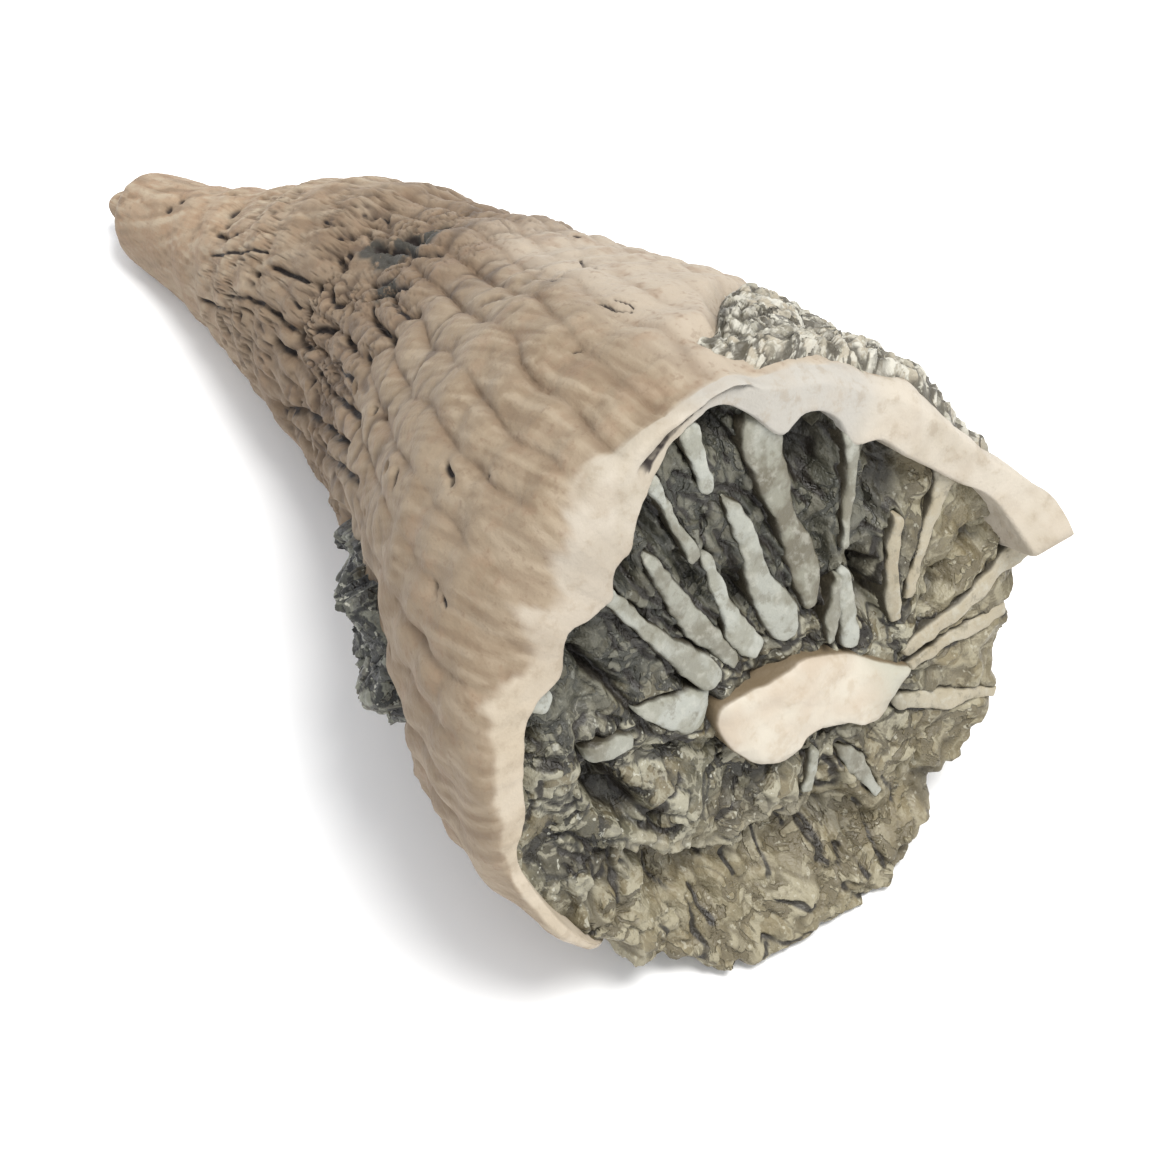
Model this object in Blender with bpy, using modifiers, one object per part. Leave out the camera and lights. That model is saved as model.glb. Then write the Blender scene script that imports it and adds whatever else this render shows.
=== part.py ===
"""Fossil horn coral (a solitary rugose coral) lying on its side.

The coral skeleton is a curved, ribbed horn with an open calyx at its wide end.
Blade-like septa and an upright axial boss stand in the calyx. Hardened
sediment fills the calyx up to the septa and takes the place of the wall where
its rim has broken away. Two crusts of the same sediment cling to the outside.

Run with: blender --background --python part.py
Dimensions are in millimetres until MM turns them into metres. +X runs from the
apex to the calyx, +Z is up, and the horn rests on z = 0.
"""

import math

import bmesh
import bpy
from mathutils import Vector, noise

MM = 0.001
SHARP_ANGLE = math.radians(35.0)

# Driving dimensions
CALYX_X = 9.6              # middle of the calyx mouth, along the horn
CALYX_DEPTH = 8.0
SECTION_TILT = 17.4        # degrees that each growth level leans back
REST_FLAT = 0.45           # how deep the underside is worn flat
ORIGIN_X = -11.18          # moves the middle of the whole fossil to x = 0
ORIGIN_Y = 2.56
GAP = 0.3                  # between the septa or boss and the sediment round them
CLEARANCE = 0.55           # between the wall's uneven faces and the sediment on them

# Middle line of the horn: x, y and radius at each level
HORN_LEVELS = (
    (-34.5, -0.45, 2.15),
    (-31.0, 0.55, 2.8),
    (-27.5, 1.5, 3.9),
    (-24.0, 2.3, 5.1),
    (-20.0, 2.95, 6.15),
    (-16.0, 3.35, 7.0),
    (-12.0, 3.45, 8.2),
    (-8.0, 3.0, 9.4),
    (-4.0, 2.3, 10.65),
    (0.0, 1.7, 11.95),
    (4.6, 1.45, 12.8),
    (CALYX_X, 1.7, 13.3),
)
# Heading of the horn, in degrees from +X, along x
HORN_HEADING = (
    (-36.6, 24.0), (-34.5, 22.0), (-27.5, 11.0), (-20.0, 2.0), (-12.0, -1.0), (0.0, 1.0), (CALYX_X, 3.6),
)
# Blunt apex with a bead at its tip: x and radius
APEX_LEVELS = ((-36.35, 0.5), (-36.0, 0.72), (-35.65, 0.95), (-35.3, 1.6))
APEX_TIP_X = -36.6

# Outside relief
RIB_COUNT = 36
RIB_HEIGHT = 0.22
RIB_PHASE = 95.0           # degrees, a groove between two ribs
RIB_FADE = (-26.0, -6.0)   # the ribs grow to their full height over this part of x
RUGAE_SPACING = 2.6        # growth wrinkles round the horn
RUGAE_HEIGHT = 0.1
RUGAE_FADE = (-34.0, -28.0)
SWELL_SIZE = 7.0           # broad unevenness of the outside
SWELL_HEIGHT = 0.22
SWELL_FADE = (-35.5, -30.0)
# Bumps and dents: x, angle in degrees, half-width in mm, height in mm
BUMPS = (
    (-27.0, 100.0, 2.0, -0.45),
    (-31.5, 108.0, 2.4, 0.2),
    (-22.0, 98.0, 3.0, 0.3),
    (-12.5, 95.0, 2.6, 0.3),
    (-8.5, 92.0, 2.4, -0.3),
    (CALYX_X, -6.0, 4.6, 2.5),
    (CALYX_X, 262.0, 5.0, 0.7),
)
# Pits in the outside: x, angle in degrees, radius in mm
PITS = (
    (-15.7, 121.0, 0.42),
    (-13.6, 129.0, 0.42),
    (-12.2, 127.0, 0.5),
    (-13.0, 135.0, 0.6),
    (-12.4, 142.0, 0.42),
    (-7.6, 114.0, 0.5),
    (-9.4, 100.0, 0.7),
    (-9.1, 125.0, 0.4),
)

# Calyx: radius of its inner edge by angle (0 = +Y side, 90 = top)
CALYX_EDGE = (
    (-15.0, 11.7), (5.0, 12.0), (22.0, 11.3), (36.0, 10.5), (50.0, 10.2), (64.0, 10.5), (78.0, 11.2),
    (92.0, 11.8), (104.0, 11.0), (118.0, 10.0), (129.0, 9.8), (142.0, 10.3), (162.0, 11.0), (185.0, 11.7),
    (212.0, 11.7), (240.0, 11.3), (290.0, 11.3), (330.0, 11.5),
)
# The rim is broken away over this arc, and the sediment shows there instead
BREAK_START = 217.0
BREAK_END = 353.0
BREAK_DEPTH = 4.0
BREAK_RISE_START = 24.0    # degrees over which each end of the break dies out
BREAK_RISE_END = 15.0
RIM_RAGGED = 0.35          # unevenness of the rim, doubled along the break
SHOULDER = 2.6             # length of the rounded edge of the rim

# Septa: outer end (u, v), inner end (u, v) and thickness, in the mouth plane
SEPTA = (
    (-0.9, 12.6, -0.3, 9.2, 1.0),
    (0.8, 7.8, 2.0, 0.5, 1.1),
    (-2.8, 11.2, -1.3, 7.0, 0.9),
    (-1.2, 6.4, 0.6, 0.5, 1.1),
    (-4.3, 10.1, -0.8, 1.6, 0.9),
    (-6.4, 8.4, -1.9, 0.8, 1.2),
    (-10.2, 5.6, -7.9, 3.6, 1.1),
    (-5.6, 1.6, -2.5, -0.7, 2.0),
    (3.0, 11.7, 3.2, 2.3, 1.3),
    (7.2, 8.8, 5.2, 4.4, 1.0),
    (6.9, 2.9, 4.5, -1.2, 0.9),
    (9.2, 6.2, 6.4, -1.6, 0.9),
    (12.0, 4.4, 7.9, -0.7, 1.0),
    (13.9, -0.8, 7.0, -3.4, 0.9),
    (12.4, -4.0, 6.9, -4.0, 0.9),
    (10.9, -7.0, 5.6, -4.6, 1.0),
    (-12.3, 1.2, -5.6, 0.2, 1.0),
    (1.9, -5.0, 1.0, -8.4, 0.8),
    (3.6, -5.6, 5.4, -10.2, 0.8),
)
SEPTUM_TOP = -0.35
SEPTUM_UNEVEN = 0.13         # how much the tops and feet of the septa differ
WALL_SEPTUM_BOTTOM = -5.4   # septa rooted in the wall
FLOOR_SEPTUM_BOTTOM = -8.8  # septa that stand free of the wall, rooted in the calyx floor
SEPTUM_SIDES = 8

# Axial boss: middle (u, v), half-length, half-width and turn in degrees
BOSS_CENTRE = (2.5, -2.9)
BOSS_LENGTH = 4.9
BOSS_WIDTH = 2.2
BOSS_TURN = -14.0
BOSS_TOP = 0.1
BOSS_SIDES = 16

# Sediment
INFILL_TOP = -0.85         # mean height of the infill against the mouth plane
INFILL_ROUGHNESS = 0.55
INFILL_LUMP = 2.4
# How much higher the infill's top is at its edge, by angle: it bulges forward at the foot of the break
INFILL_EDGE_LIFT = (
    (20.0, -0.3), (110.0, -0.3), (195.0, -0.3), (215.0, 0.2), (232.0, 0.5), (246.0, 0.5), (256.0, 1.2),
    (266.0, 1.9), (273.0, 1.8), (281.0, 1.2), (287.0, 1.1), (294.0, 0.5), (303.0, 0.2), (316.0, 0.5),
    (340.0, 0.5), (354.0, 0.3),
)
INFILL_LIFT_REACH = (8.5, 13.0)    # radius at which the lift starts and is full
# Radius of the infill by angle where it spreads over the break
INFILL_SPREAD = (
    (214.0, 12.8), (232.0, 12.9), (250.0, 12.9), (262.0, 12.8), (272.0, 12.8), (284.0, 13.2), (298.0, 12.9),
    (316.0, 13.3), (326.0, 13.6), (336.0, 13.1), (346.0, 13.6), (356.0, 13.8),
)
OVERHANG_START = 1.9       # depth of the break at which the infill starts to spread over it
OVERHANG_FULL = 2.6
OVERHANG_GAP = 0.95        # between the broken rim and the infill that spreads over it
# Hollows in the infill: (u, v), half-length, half-width, turn in degrees
HOLLOWS = (
    (1.1, 10.9, 1.0, 0.7, 90.0),
    (5.0, 8.2, 1.6, 1.0, 75.0),
    (9.4, 5.0, 1.6, 1.2, 50.0),
    (5.9, 0.3, 1.3, 0.6, 80.0),
    (-7.9, -2.2, 1.7, 0.9, 75.0),
    (-3.3, 8.4, 1.0, 0.6, 110.0),
    (-6.2, 4.8, 1.1, 0.6, 140.0),
    (9.6, -2.0, 0.9, 0.6, 20.0),
)
# Crusts: for each angle, where the crust starts and ends along x
UPPER_CRUST = (
    (6.0, 5.2, 8.6), (14.0, 3.0, 8.8), (24.0, 1.6, 8.9), (40.0, 0.9, 8.9), (56.0, 2.1, 8.9), (66.0, 4.2, 8.9),
    (75.0, 7.0, 8.8),
)
UPPER_CRUST_RISE = 0.1
LOWER_CRUST = (
    (167.0, -6.0, -0.6), (174.0, -8.4, 0.8), (183.0, -8.9, 1.4), (192.0, -8.0, 0.8), (201.0, -5.6, -1.6),
)
LOWER_CRUST_RISE = 1.15
SCAR_DEPTH = 0.75          # the wall is sunk under the crusts
SCAR_MARGIN = 2.2
CRUST_THICKNESS = 0.55
CRUST_CLEARANCE = 0.65     # between the wall's ribs and a crust
CRUST_LUMPS = 0.25

# Mesh density
AROUND = 72
COLUMN = 360.0 / AROUND
OUTSIDE_LEVELS = 20

COLOURS = {
    "calcite": (0.58, 0.48, 0.36, 0.72),
    "sediment": (0.19, 0.19, 0.16, 0.85),
}


# ---------------------------------------------------------------- curves

def smooth_through(points, x):
    """Value at x of a smooth curve through (x, value) points."""
    if x <= points[0][0]:
        return points[0][1]
    if x >= points[-1][0]:
        return points[-1][1]
    i = 0
    while points[i + 1][0] < x:
        i += 1

    def slope(k):
        before = points[max(k - 1, 0)]
        after = points[min(k + 1, len(points) - 1)]
        return (after[1] - before[1]) / (after[0] - before[0])

    (x0, v0), (x1, v1) = points[i], points[i + 1]
    span = x1 - x0
    t = (x - x0) / span
    return (
        (2 * t ** 3 - 3 * t ** 2 + 1) * v0
        + (t ** 3 - 2 * t ** 2 + t) * span * slope(i)
        + (3 * t ** 2 - 2 * t ** 3) * v1
        + (t ** 3 - t ** 2) * span * slope(i + 1)
    )


def smooth_round(points, angle):
    """Value at an angle of a closed smooth curve through (degrees, value) points."""
    low = points[0][0]
    angle = low + (angle - low) % 360.0
    last = points[-1]
    before = (last[0] - 360.0, last[1])
    after = [(a + 360.0, v) for a, v in points[:2]]
    return smooth_through([before, *points, *after], angle)


def ramp(value, start, end):
    """0 before start, 1 after end, with a smooth change between."""
    t = min(max((value - start) / (end - start), 0.0), 1.0)
    return t * t * (3.0 - 2.0 * t)


def angle_apart(a, b):
    return abs((a - b + 180.0) % 360.0 - 180.0)


# ---------------------------------------------------------------- the horn

def horn_radius(x):
    return smooth_through([(level[0], level[2]) for level in HORN_LEVELS], x)


def horn_frame(x):
    """Middle of the growth level at x, with its side and up directions."""
    tilt = math.radians(SECTION_TILT)
    heading = math.radians(smooth_through(HORN_HEADING, x))
    forward = Vector((math.cos(tilt) * math.cos(heading), math.cos(tilt) * math.sin(heading), math.sin(tilt)))
    side = Vector((-math.sin(heading), math.cos(heading), 0.0))
    up = forward.cross(side)
    first = HORN_LEVELS[0]
    y = smooth_through([(level[0], level[1]) for level in HORN_LEVELS], x)
    if x < first[0]:
        y -= (first[0] - x) * math.tan(heading)
    height = horn_radius(x) * math.cos(tilt) - REST_FLAT
    return Vector((x, y, height)), side, up


def to_metres(point):
    """Millimetres round the horn to metres round the fossil's origin, never below the ground."""
    return Vector((point.x - ORIGIN_X, point.y - ORIGIN_Y, max(point.z, 0.0))) * MM


def on_level(x, angle, radius):
    """The point at an angle and a radius on the growth level at x."""
    middle, side, up = horn_frame(x)
    turn = math.radians(angle)
    return middle + (side * math.cos(turn) + up * math.sin(turn)) * radius


def in_calyx(u, v, height):
    """A point given by u (towards +Y), v (up) and height above the mouth."""
    middle, side, up = horn_frame(CALYX_X + height)
    return middle + side * u + up * v


def outside_relief(x, angle):
    """Ribs, growth wrinkles, swells, bumps and dents, as a change of radius."""
    fade = ramp(x, *RIB_FADE)
    rib = -math.cos(math.radians((angle - RIB_PHASE) * RIB_COUNT)) * RIB_HEIGHT * fade
    turn = math.radians(angle)
    place = Vector((x, horn_radius(x) * math.cos(turn), horn_radius(x) * math.sin(turn)))
    swell = noise.noise(place / SWELL_SIZE) * SWELL_HEIGHT * 2.0
    drift = noise.noise(place / (2.0 * SWELL_SIZE)) * RUGAE_SPACING * 2.0
    rugae = math.sin((x + drift) / RUGAE_SPACING * math.tau) * RUGAE_HEIGHT * ramp(x, *RUGAE_FADE)
    total = rib + swell * ramp(x, *SWELL_FADE) + rugae
    for bump_x, bump_angle, width, height in BUMPS:
        across = math.radians(angle_apart(angle, bump_angle)) * horn_radius(x)
        distance = math.hypot(x - bump_x, across) / width
        total += height * math.exp(-distance * distance)
    return total


def crust_window(crust, x, angle):
    """1 under a crust and 0 beyond the margin of its scar."""
    first, last = crust[0][0], crust[-1][0]
    middle = (first + last) / 2.0
    off_middle = (angle - middle + 180.0) % 360.0 - 180.0
    reach = (last - first) / 2.0
    beyond_angle = math.radians(abs(off_middle) - reach) * horn_radius(x)
    nearest = middle + min(max(off_middle, -reach), reach)
    start = smooth_through([(row[0], row[1]) for row in crust], nearest)
    end = smooth_through([(row[0], row[2]) for row in crust], nearest)
    beyond = max(start - x, x - end)
    return (1.0 - ramp(beyond_angle, 0.2, SCAR_MARGIN)) * (1.0 - ramp(beyond, 0.4, SCAR_MARGIN))


def outside_radius(x, angle):
    scar = SCAR_DEPTH * (crust_window(UPPER_CRUST, x, angle) + crust_window(LOWER_CRUST, x, angle))
    return horn_radius(x) + outside_relief(x, angle) - scar


def break_share(angle):
    """1 where the rim is broken away, 0 where it stands."""
    angle %= 360.0
    begun = ramp(angle, BREAK_START, BREAK_START + BREAK_RISE_START)
    return begun * (1.0 - ramp(angle, BREAK_END - BREAK_RISE_END, BREAK_END))


def rim_height(angle):
    """Height of the rim against the mouth plane."""
    ragged = noise.noise(Vector((math.cos(math.radians(angle)), math.sin(math.radians(angle)), 0.4)) * 3.0)
    return -BREAK_DEPTH * break_share(angle) + RIM_RAGGED * ragged * (1.0 + break_share(angle))


def calyx_edge(angle):
    return smooth_round(CALYX_EDGE, angle)


# Calyx wall below the rim: share of the depth, share of the edge radius
CALYX_WALL = ((0.06, 1.0), (0.3, 0.97), (0.62, 0.9), (0.9, 0.74), (0.98, 0.42), (1.0, 0.0))


def calyx_wall(angle, depth_share):
    """Radius and height of a point on the inner wall of the calyx."""
    above, below = CALYX_WALL[0], CALYX_WALL[0]
    for row in CALYX_WALL[1:]:
        if below[0] < depth_share:
            above, below = below, row
    span = max(below[0] - above[0], 0.001)
    part = min(max((depth_share - above[0]) / span, 0.0), 1.0)
    share = above[1] + (below[1] - above[1]) * part
    top = rim_height(angle)
    return calyx_edge(angle) * share, top + (-CALYX_DEPTH - top) * depth_share


def calyx_wall_at(angle, height):
    """Radius of the inner wall of the calyx at a height."""
    top = rim_height(angle)
    return calyx_wall(angle, (top - height) / (top + CALYX_DEPTH))[0]


def horn_ring(level, angle):
    """Point of the skeleton's closed surface, from the apex tip (0) over the rim to the calyx floor."""
    rim_x = CALYX_X + rim_height(angle)
    if level == 0:
        return on_level(APEX_TIP_X, angle, 0.0)
    if level <= len(APEX_LEVELS):
        x, radius = APEX_LEVELS[level - 1]
        return on_level(x, angle, radius)
    level -= len(APEX_LEVELS) + 1
    shoulder_x = rim_x - SHOULDER
    first_x = HORN_LEVELS[0][0]
    if level < OUTSIDE_LEVELS:
        x = first_x + (shoulder_x - first_x) * level / (OUTSIDE_LEVELS - 1)
        return on_level(x, angle, outside_radius(x, angle))
    level -= OUTSIDE_LEVELS
    turn = math.radians(angle)
    rounding = 1.0 - 0.7 * ramp(math.cos(turn), -0.3, 0.3)
    edge = calyx_edge(angle)
    if level < 2:
        x = rim_x - SHOULDER * (0.45, 0.1)[level]
        wall = outside_radius(x, angle)
        return on_level(x, angle, wall - (wall - edge) * (0.08, 0.32)[level] * rounding)
    height = rim_height(angle)
    wall = outside_radius(rim_x, angle)
    if level == 2:
        radius = edge + (wall - edge) * (0.5 if rounding > 0.6 else 0.75)
        return on_level(CALYX_X + height, angle, radius)
    level -= 3
    radius, height = calyx_wall(angle, CALYX_WALL[level][0])
    return on_level(CALYX_X + height, angle, radius)


HORN_RINGS = len(APEX_LEVELS) + OUTSIDE_LEVELS + 3 + len(CALYX_WALL)


# ---------------------------------------------------------------- sediment

def infill_height(u, v):
    """Rough top of the infill."""
    lumps = noise.fractal(Vector((u, v, 3.0)) / INFILL_LUMP, 1.0, 2.0, 2)
    lift = smooth_round(INFILL_EDGE_LIFT, math.degrees(math.atan2(v, u)))
    return INFILL_TOP + INFILL_ROUGHNESS * lumps + lift * ramp(math.hypot(u, v), *INFILL_LIFT_REACH)


INFILL_TOP_SHARES = (0.18, 0.38, 0.56, 0.73, 0.88)
INFILL_SIDE_SHARES = (0.3, 0.65, 0.93, 1.0)
INFILL_RINGS = len(INFILL_TOP_SHARES) + 3 + len(INFILL_SIDE_SHARES)


def infill_ring(level, angle):
    """Point of the infill's closed surface, from the middle of its top (0) to its underside."""
    turn = math.radians(angle)
    cosine, sine = math.cos(turn), math.sin(turn)
    rim = max(rim_height(angle + off) for off in (-COLUMN, 0.0, COLUMN))
    overhang = ramp(-rim, OVERHANG_START, OVERHANG_FULL)
    inner = calyx_wall_at(angle, INFILL_TOP) - CLEARANCE
    craggy = INFILL_ROUGHNESS * noise.noise(Vector((cosine, sine, 1.7)) * 5.0)
    outer = inner + (smooth_round(INFILL_SPREAD, angle) + craggy - inner) * overhang
    edge_height = infill_height(outer * cosine, outer * sine) - 0.15
    under = edge_height - 0.3 + (rim + OVERHANG_GAP - edge_height) * overhang
    if level <= len(INFILL_TOP_SHARES):
        radius = outer * (0.0, *INFILL_TOP_SHARES)[level]
        return on_level(CALYX_X + infill_height(radius * cosine, radius * sine), angle, radius)
    level -= len(INFILL_TOP_SHARES) + 1
    if level < 2:
        return on_level(CALYX_X + (edge_height, under)[level], angle, outer)
    floor = -CALYX_DEPTH + GAP + 0.1
    start = under - 0.05
    share = (0.0, *INFILL_SIDE_SHARES)[level - 2]
    height = start + (floor - start) * share
    radius = calyx_wall_at(angle, height - GAP * share) - CLEARANCE
    if share == 1.0:
        radius = 0.0
    return on_level(CALYX_X + height, angle, radius)


# ---------------------------------------------------------------- mesh makers

def new_collection(name):
    collection = bpy.data.collections.new(name)
    bpy.context.scene.collection.children.link(collection)
    return collection


def new_object(name, mesh_maker, collection):
    """An object whose mesh mesh_maker builds in a bmesh."""
    bm = bmesh.new()
    mesh_maker(bm)
    mesh = bpy.data.meshes.new(name)
    bm.to_mesh(mesh)
    bm.free()
    mesh.shade_smooth()
    mesh.set_sharp_from_angle(angle=SHARP_ANGLE)
    obj = bpy.data.objects.new(name, mesh)
    collection.objects.link(obj)
    return obj


def new_tool(name, mesh_maker, collection):
    """A shape that is only added to or cut from another."""
    obj = new_object(name, mesh_maker, collection)
    obj.hide_render = True
    obj.display_type = "WIRE"
    return obj


def wrapped_sphere(bm, rings, point_at):
    """A sphere whose rings are moved onto point_at(ring, angle), from pole to pole."""
    bmesh.ops.create_uvsphere(bm, u_segments=AROUND, v_segments=rings, radius=1.0)
    for vert in bm.verts:
        ring = round(math.acos(min(max(vert.co.z, -1.0), 1.0)) / math.pi * rings)
        angle = math.degrees(math.atan2(vert.co.y, vert.co.x))
        vert.co = to_metres(point_at(ring, angle))
    bmesh.ops.recalc_face_normals(bm, faces=bm.faces)


def upright_prism(bm, sides, half_length, half_width, turn, centre, bottom, top, taper):
    """An oval prism that stands across the mouth plane, wider at its low-u end by taper."""
    bmesh.ops.create_cone(bm, cap_ends=True, segments=sides, radius1=1.0, radius2=1.0, depth=1.0)
    for vert in bm.verts:
        along = vert.co.x * half_length
        across = vert.co.y * half_width * (1.0 - taper * vert.co.x)
        u = centre[0] + along * math.cos(turn) - across * math.sin(turn)
        v = centre[1] + along * math.sin(turn) + across * math.cos(turn)
        height = top if vert.co.z > 0.0 else bottom
        vert.co = to_metres(in_calyx(u, v, height))
    bmesh.ops.recalc_face_normals(bm, faces=bm.faces)


def make_septum(bm, septum, grown):
    outer_u, outer_v, inner_u, inner_v, thickness = septum
    centre = ((outer_u + inner_u) / 2.0, (outer_v + inner_v) / 2.0)
    length = math.hypot(outer_u - inner_u, outer_v - inner_v)
    turn = math.atan2(inner_v - outer_v, inner_u - outer_u)
    outer_angle = math.degrees(math.atan2(outer_v, outer_u))
    at_wall = math.hypot(outer_u, outer_v) > calyx_edge(outer_angle) + 0.3
    uneven = SEPTUM_UNEVEN * math.sin(7.0 * outer_u + 3.0 * outer_v)
    bottom = uneven + (WALL_SEPTUM_BOTTOM - grown if at_wall else FLOOR_SEPTUM_BOTTOM)
    upright_prism(
        bm, SEPTUM_SIDES, length / 2.0 + grown, thickness / 2.0 + grown, turn, centre,
        bottom, SEPTUM_TOP + uneven + 4.0 * grown, -0.15,
    )


def make_boss(bm, grown):
    upright_prism(
        bm, BOSS_SIDES, BOSS_LENGTH + grown, BOSS_WIDTH + grown, math.radians(BOSS_TURN), BOSS_CENTRE,
        FLOOR_SEPTUM_BOTTOM, BOSS_TOP + 4.0 * grown, 0.22,
    )


def make_hollow(bm, hollow):
    """A lens-shaped dip in the top of the infill."""
    u, v, half_length, half_width, degrees = hollow
    turn = math.radians(degrees)
    bmesh.ops.create_icosphere(bm, subdivisions=1, radius=1.0)
    for vert in bm.verts:
        along, across, height = vert.co.x * half_length, vert.co.y * half_width, vert.co.z * 1.5
        vert.co = to_metres(
            in_calyx(
                u + along * math.cos(turn) - across * math.sin(turn),
                v + along * math.sin(turn) + across * math.cos(turn),
                INFILL_TOP + 0.2 + height,
            )
        )
    bmesh.ops.recalc_face_normals(bm, faces=bm.faces)


def make_pit(bm, pit):
    x, angle, radius = pit
    bmesh.ops.create_icosphere(bm, subdivisions=1, radius=radius * MM)
    middle = to_metres(on_level(x, angle, outside_radius(x, angle)))
    bmesh.ops.translate(bm, verts=bm.verts, vec=middle)


def make_crust(bm, crust, rise, along, across):
    """A rough sheet that follows the outside of the horn between a crust's two edges."""
    bmesh.ops.create_grid(bm, x_segments=along, y_segments=across, size=1.0)
    starts = [(row[0], row[1]) for row in crust]
    ends = [(row[0], row[2]) for row in crust]
    for vert in bm.verts:
        share_x, share_angle = (vert.co.x + 1.0) / 2.0, (vert.co.y + 1.0) / 2.0
        angle = crust[0][0] + (crust[-1][0] - crust[0][0]) * share_angle
        start, end = smooth_through(starts, angle), smooth_through(ends, angle)
        ragged = noise.noise(Vector((angle * 0.25, share_x * 3.0, 0.7)))
        x = start + (end - start) * share_x + 0.5 * ragged * (1.0 - share_x)
        edge = min(share_x, 1.0 - share_x, share_angle, 1.0 - share_angle)
        lumps = CRUST_LUMPS * noise.noise(Vector((x, angle * 0.2, 5.0)) / 1.6)
        bulge = (rise - GAP - CRUST_THICKNESS) * ramp(edge, 0.0, 0.3) if rise > 0.5 else 0.0
        radius = outside_radius(x, angle) + CRUST_CLEARANCE + CRUST_THICKNESS + bulge + max(lumps, 0.0)
        vert.co = to_metres(on_level(x, angle, radius))
    bmesh.ops.reverse_faces(bm, faces=bm.faces)


# ---------------------------------------------------------------- finish

def principled(name):
    red, green, blue, roughness = COLOURS[name]
    material = bpy.data.materials.new(name)
    material.use_nodes = True
    shader = material.node_tree.nodes["Principled BSDF"]
    shader.inputs["Base Color"].default_value = (red, green, blue, 1.0)
    shader.inputs["Roughness"].default_value = roughness
    shader.inputs["Metallic"].default_value = 0.0
    return material


def combine(obj, operation, collection):
    boolean = obj.modifiers.new(collection.name, "BOOLEAN")
    boolean.operation = operation
    boolean.operand_type = "COLLECTION"
    boolean.collection = collection
    boolean.solver = "EXACT"


def main():
    for obj in list(bpy.data.objects):
        bpy.data.objects.remove(obj, do_unlink=True)

    fossil = new_collection("fossil_horn_coral")
    growths = new_collection("septa_and_boss")
    pits = new_collection("pit_cutters")
    slots = new_collection("infill_cutters")

    coral = new_object("coral", lambda bm: wrapped_sphere(bm, HORN_RINGS, horn_ring), fossil)
    coral.data.materials.append(principled("calcite"))
    infill = new_object("matrix_infill", lambda bm: wrapped_sphere(bm, INFILL_RINGS, infill_ring), fossil)
    infill.data.materials.append(principled("sediment"))

    for number, septum in enumerate(SEPTA):
        new_tool(f"septum_{number}", lambda bm: make_septum(bm, septum, 0.0), growths)
        new_tool(f"septum_slot_{number}", lambda bm: make_septum(bm, septum, GAP), slots)
    new_tool("boss", lambda bm: make_boss(bm, 0.0), growths)
    new_tool("boss_slot", lambda bm: make_boss(bm, GAP), slots)
    for number, hollow in enumerate(HOLLOWS):
        new_tool(f"hollow_{number}", lambda bm: make_hollow(bm, hollow), slots)
    for number, pit in enumerate(PITS):
        new_tool(f"pit_{number}", lambda bm: make_pit(bm, pit), pits)

    combine(coral, "UNION", growths)
    combine(coral, "DIFFERENCE", pits)
    combine(infill, "DIFFERENCE", slots)

    crusts = (
        ("matrix_crust_upper", UPPER_CRUST, UPPER_CRUST_RISE, 6, 14),
        ("matrix_crust_lower", LOWER_CRUST, LOWER_CRUST_RISE, 12, 8),
    )
    for name, crust, rise, along, across in crusts:
        obj = new_object(name, lambda bm: make_crust(bm, crust, rise, along, across), fossil)
        thicken = obj.modifiers.new("thickness", "SOLIDIFY")
        thicken.thickness = CRUST_THICKNESS * MM
        thicken.offset = -1.0
        obj.data.materials.append(principled("sediment"))


main()
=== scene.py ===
"""Looks of the fossil horn coral.

A weathered calcite skeleton with its septa and boss, the rough sediment in its calyx, and two crusts
of sediment on its outside, each modelled finely over its CAD node. Lengths are in millimetres until
MM turns them into metres. The horn's own coordinates are x along the horn and an angle round it
(0 = +Y side, 90 = top). On the calyx, u points to +Y and v points up.
"""

import math

import bpy
import numpy as np
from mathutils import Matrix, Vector, noise


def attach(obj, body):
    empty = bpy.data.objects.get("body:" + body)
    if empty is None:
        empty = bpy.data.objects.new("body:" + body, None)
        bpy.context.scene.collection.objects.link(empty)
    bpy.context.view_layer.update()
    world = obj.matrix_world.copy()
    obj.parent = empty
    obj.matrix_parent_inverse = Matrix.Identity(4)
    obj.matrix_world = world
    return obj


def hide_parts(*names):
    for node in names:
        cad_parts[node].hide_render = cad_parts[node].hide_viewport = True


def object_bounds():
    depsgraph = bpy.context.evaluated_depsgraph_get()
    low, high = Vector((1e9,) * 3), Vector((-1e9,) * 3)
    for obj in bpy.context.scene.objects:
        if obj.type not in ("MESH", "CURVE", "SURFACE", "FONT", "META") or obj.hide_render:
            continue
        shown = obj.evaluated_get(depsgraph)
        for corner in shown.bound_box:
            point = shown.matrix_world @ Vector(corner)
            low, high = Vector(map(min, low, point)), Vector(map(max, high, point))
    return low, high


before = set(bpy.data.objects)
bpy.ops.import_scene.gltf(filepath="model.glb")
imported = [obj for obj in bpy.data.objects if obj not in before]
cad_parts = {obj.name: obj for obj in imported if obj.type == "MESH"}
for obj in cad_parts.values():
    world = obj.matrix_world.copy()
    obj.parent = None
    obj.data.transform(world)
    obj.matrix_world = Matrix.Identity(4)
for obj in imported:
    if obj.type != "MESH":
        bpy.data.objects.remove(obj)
CAD_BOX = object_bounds()

MM = 0.001
BOX_EASE = 0.6             # points this near the sides of the CAD model's box are pressed together

# ---------------------------------------------------------------- the horn's form, as in the CAD

CALYX_X = 9.6
CALYX_DEPTH = 8.0
HORN_START = -36.6
SECTION_TILT = math.radians(17.4)
REST_FLAT = 0.45
ORIGIN_X = -11.18
ORIGIN_Y = 2.56

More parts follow.
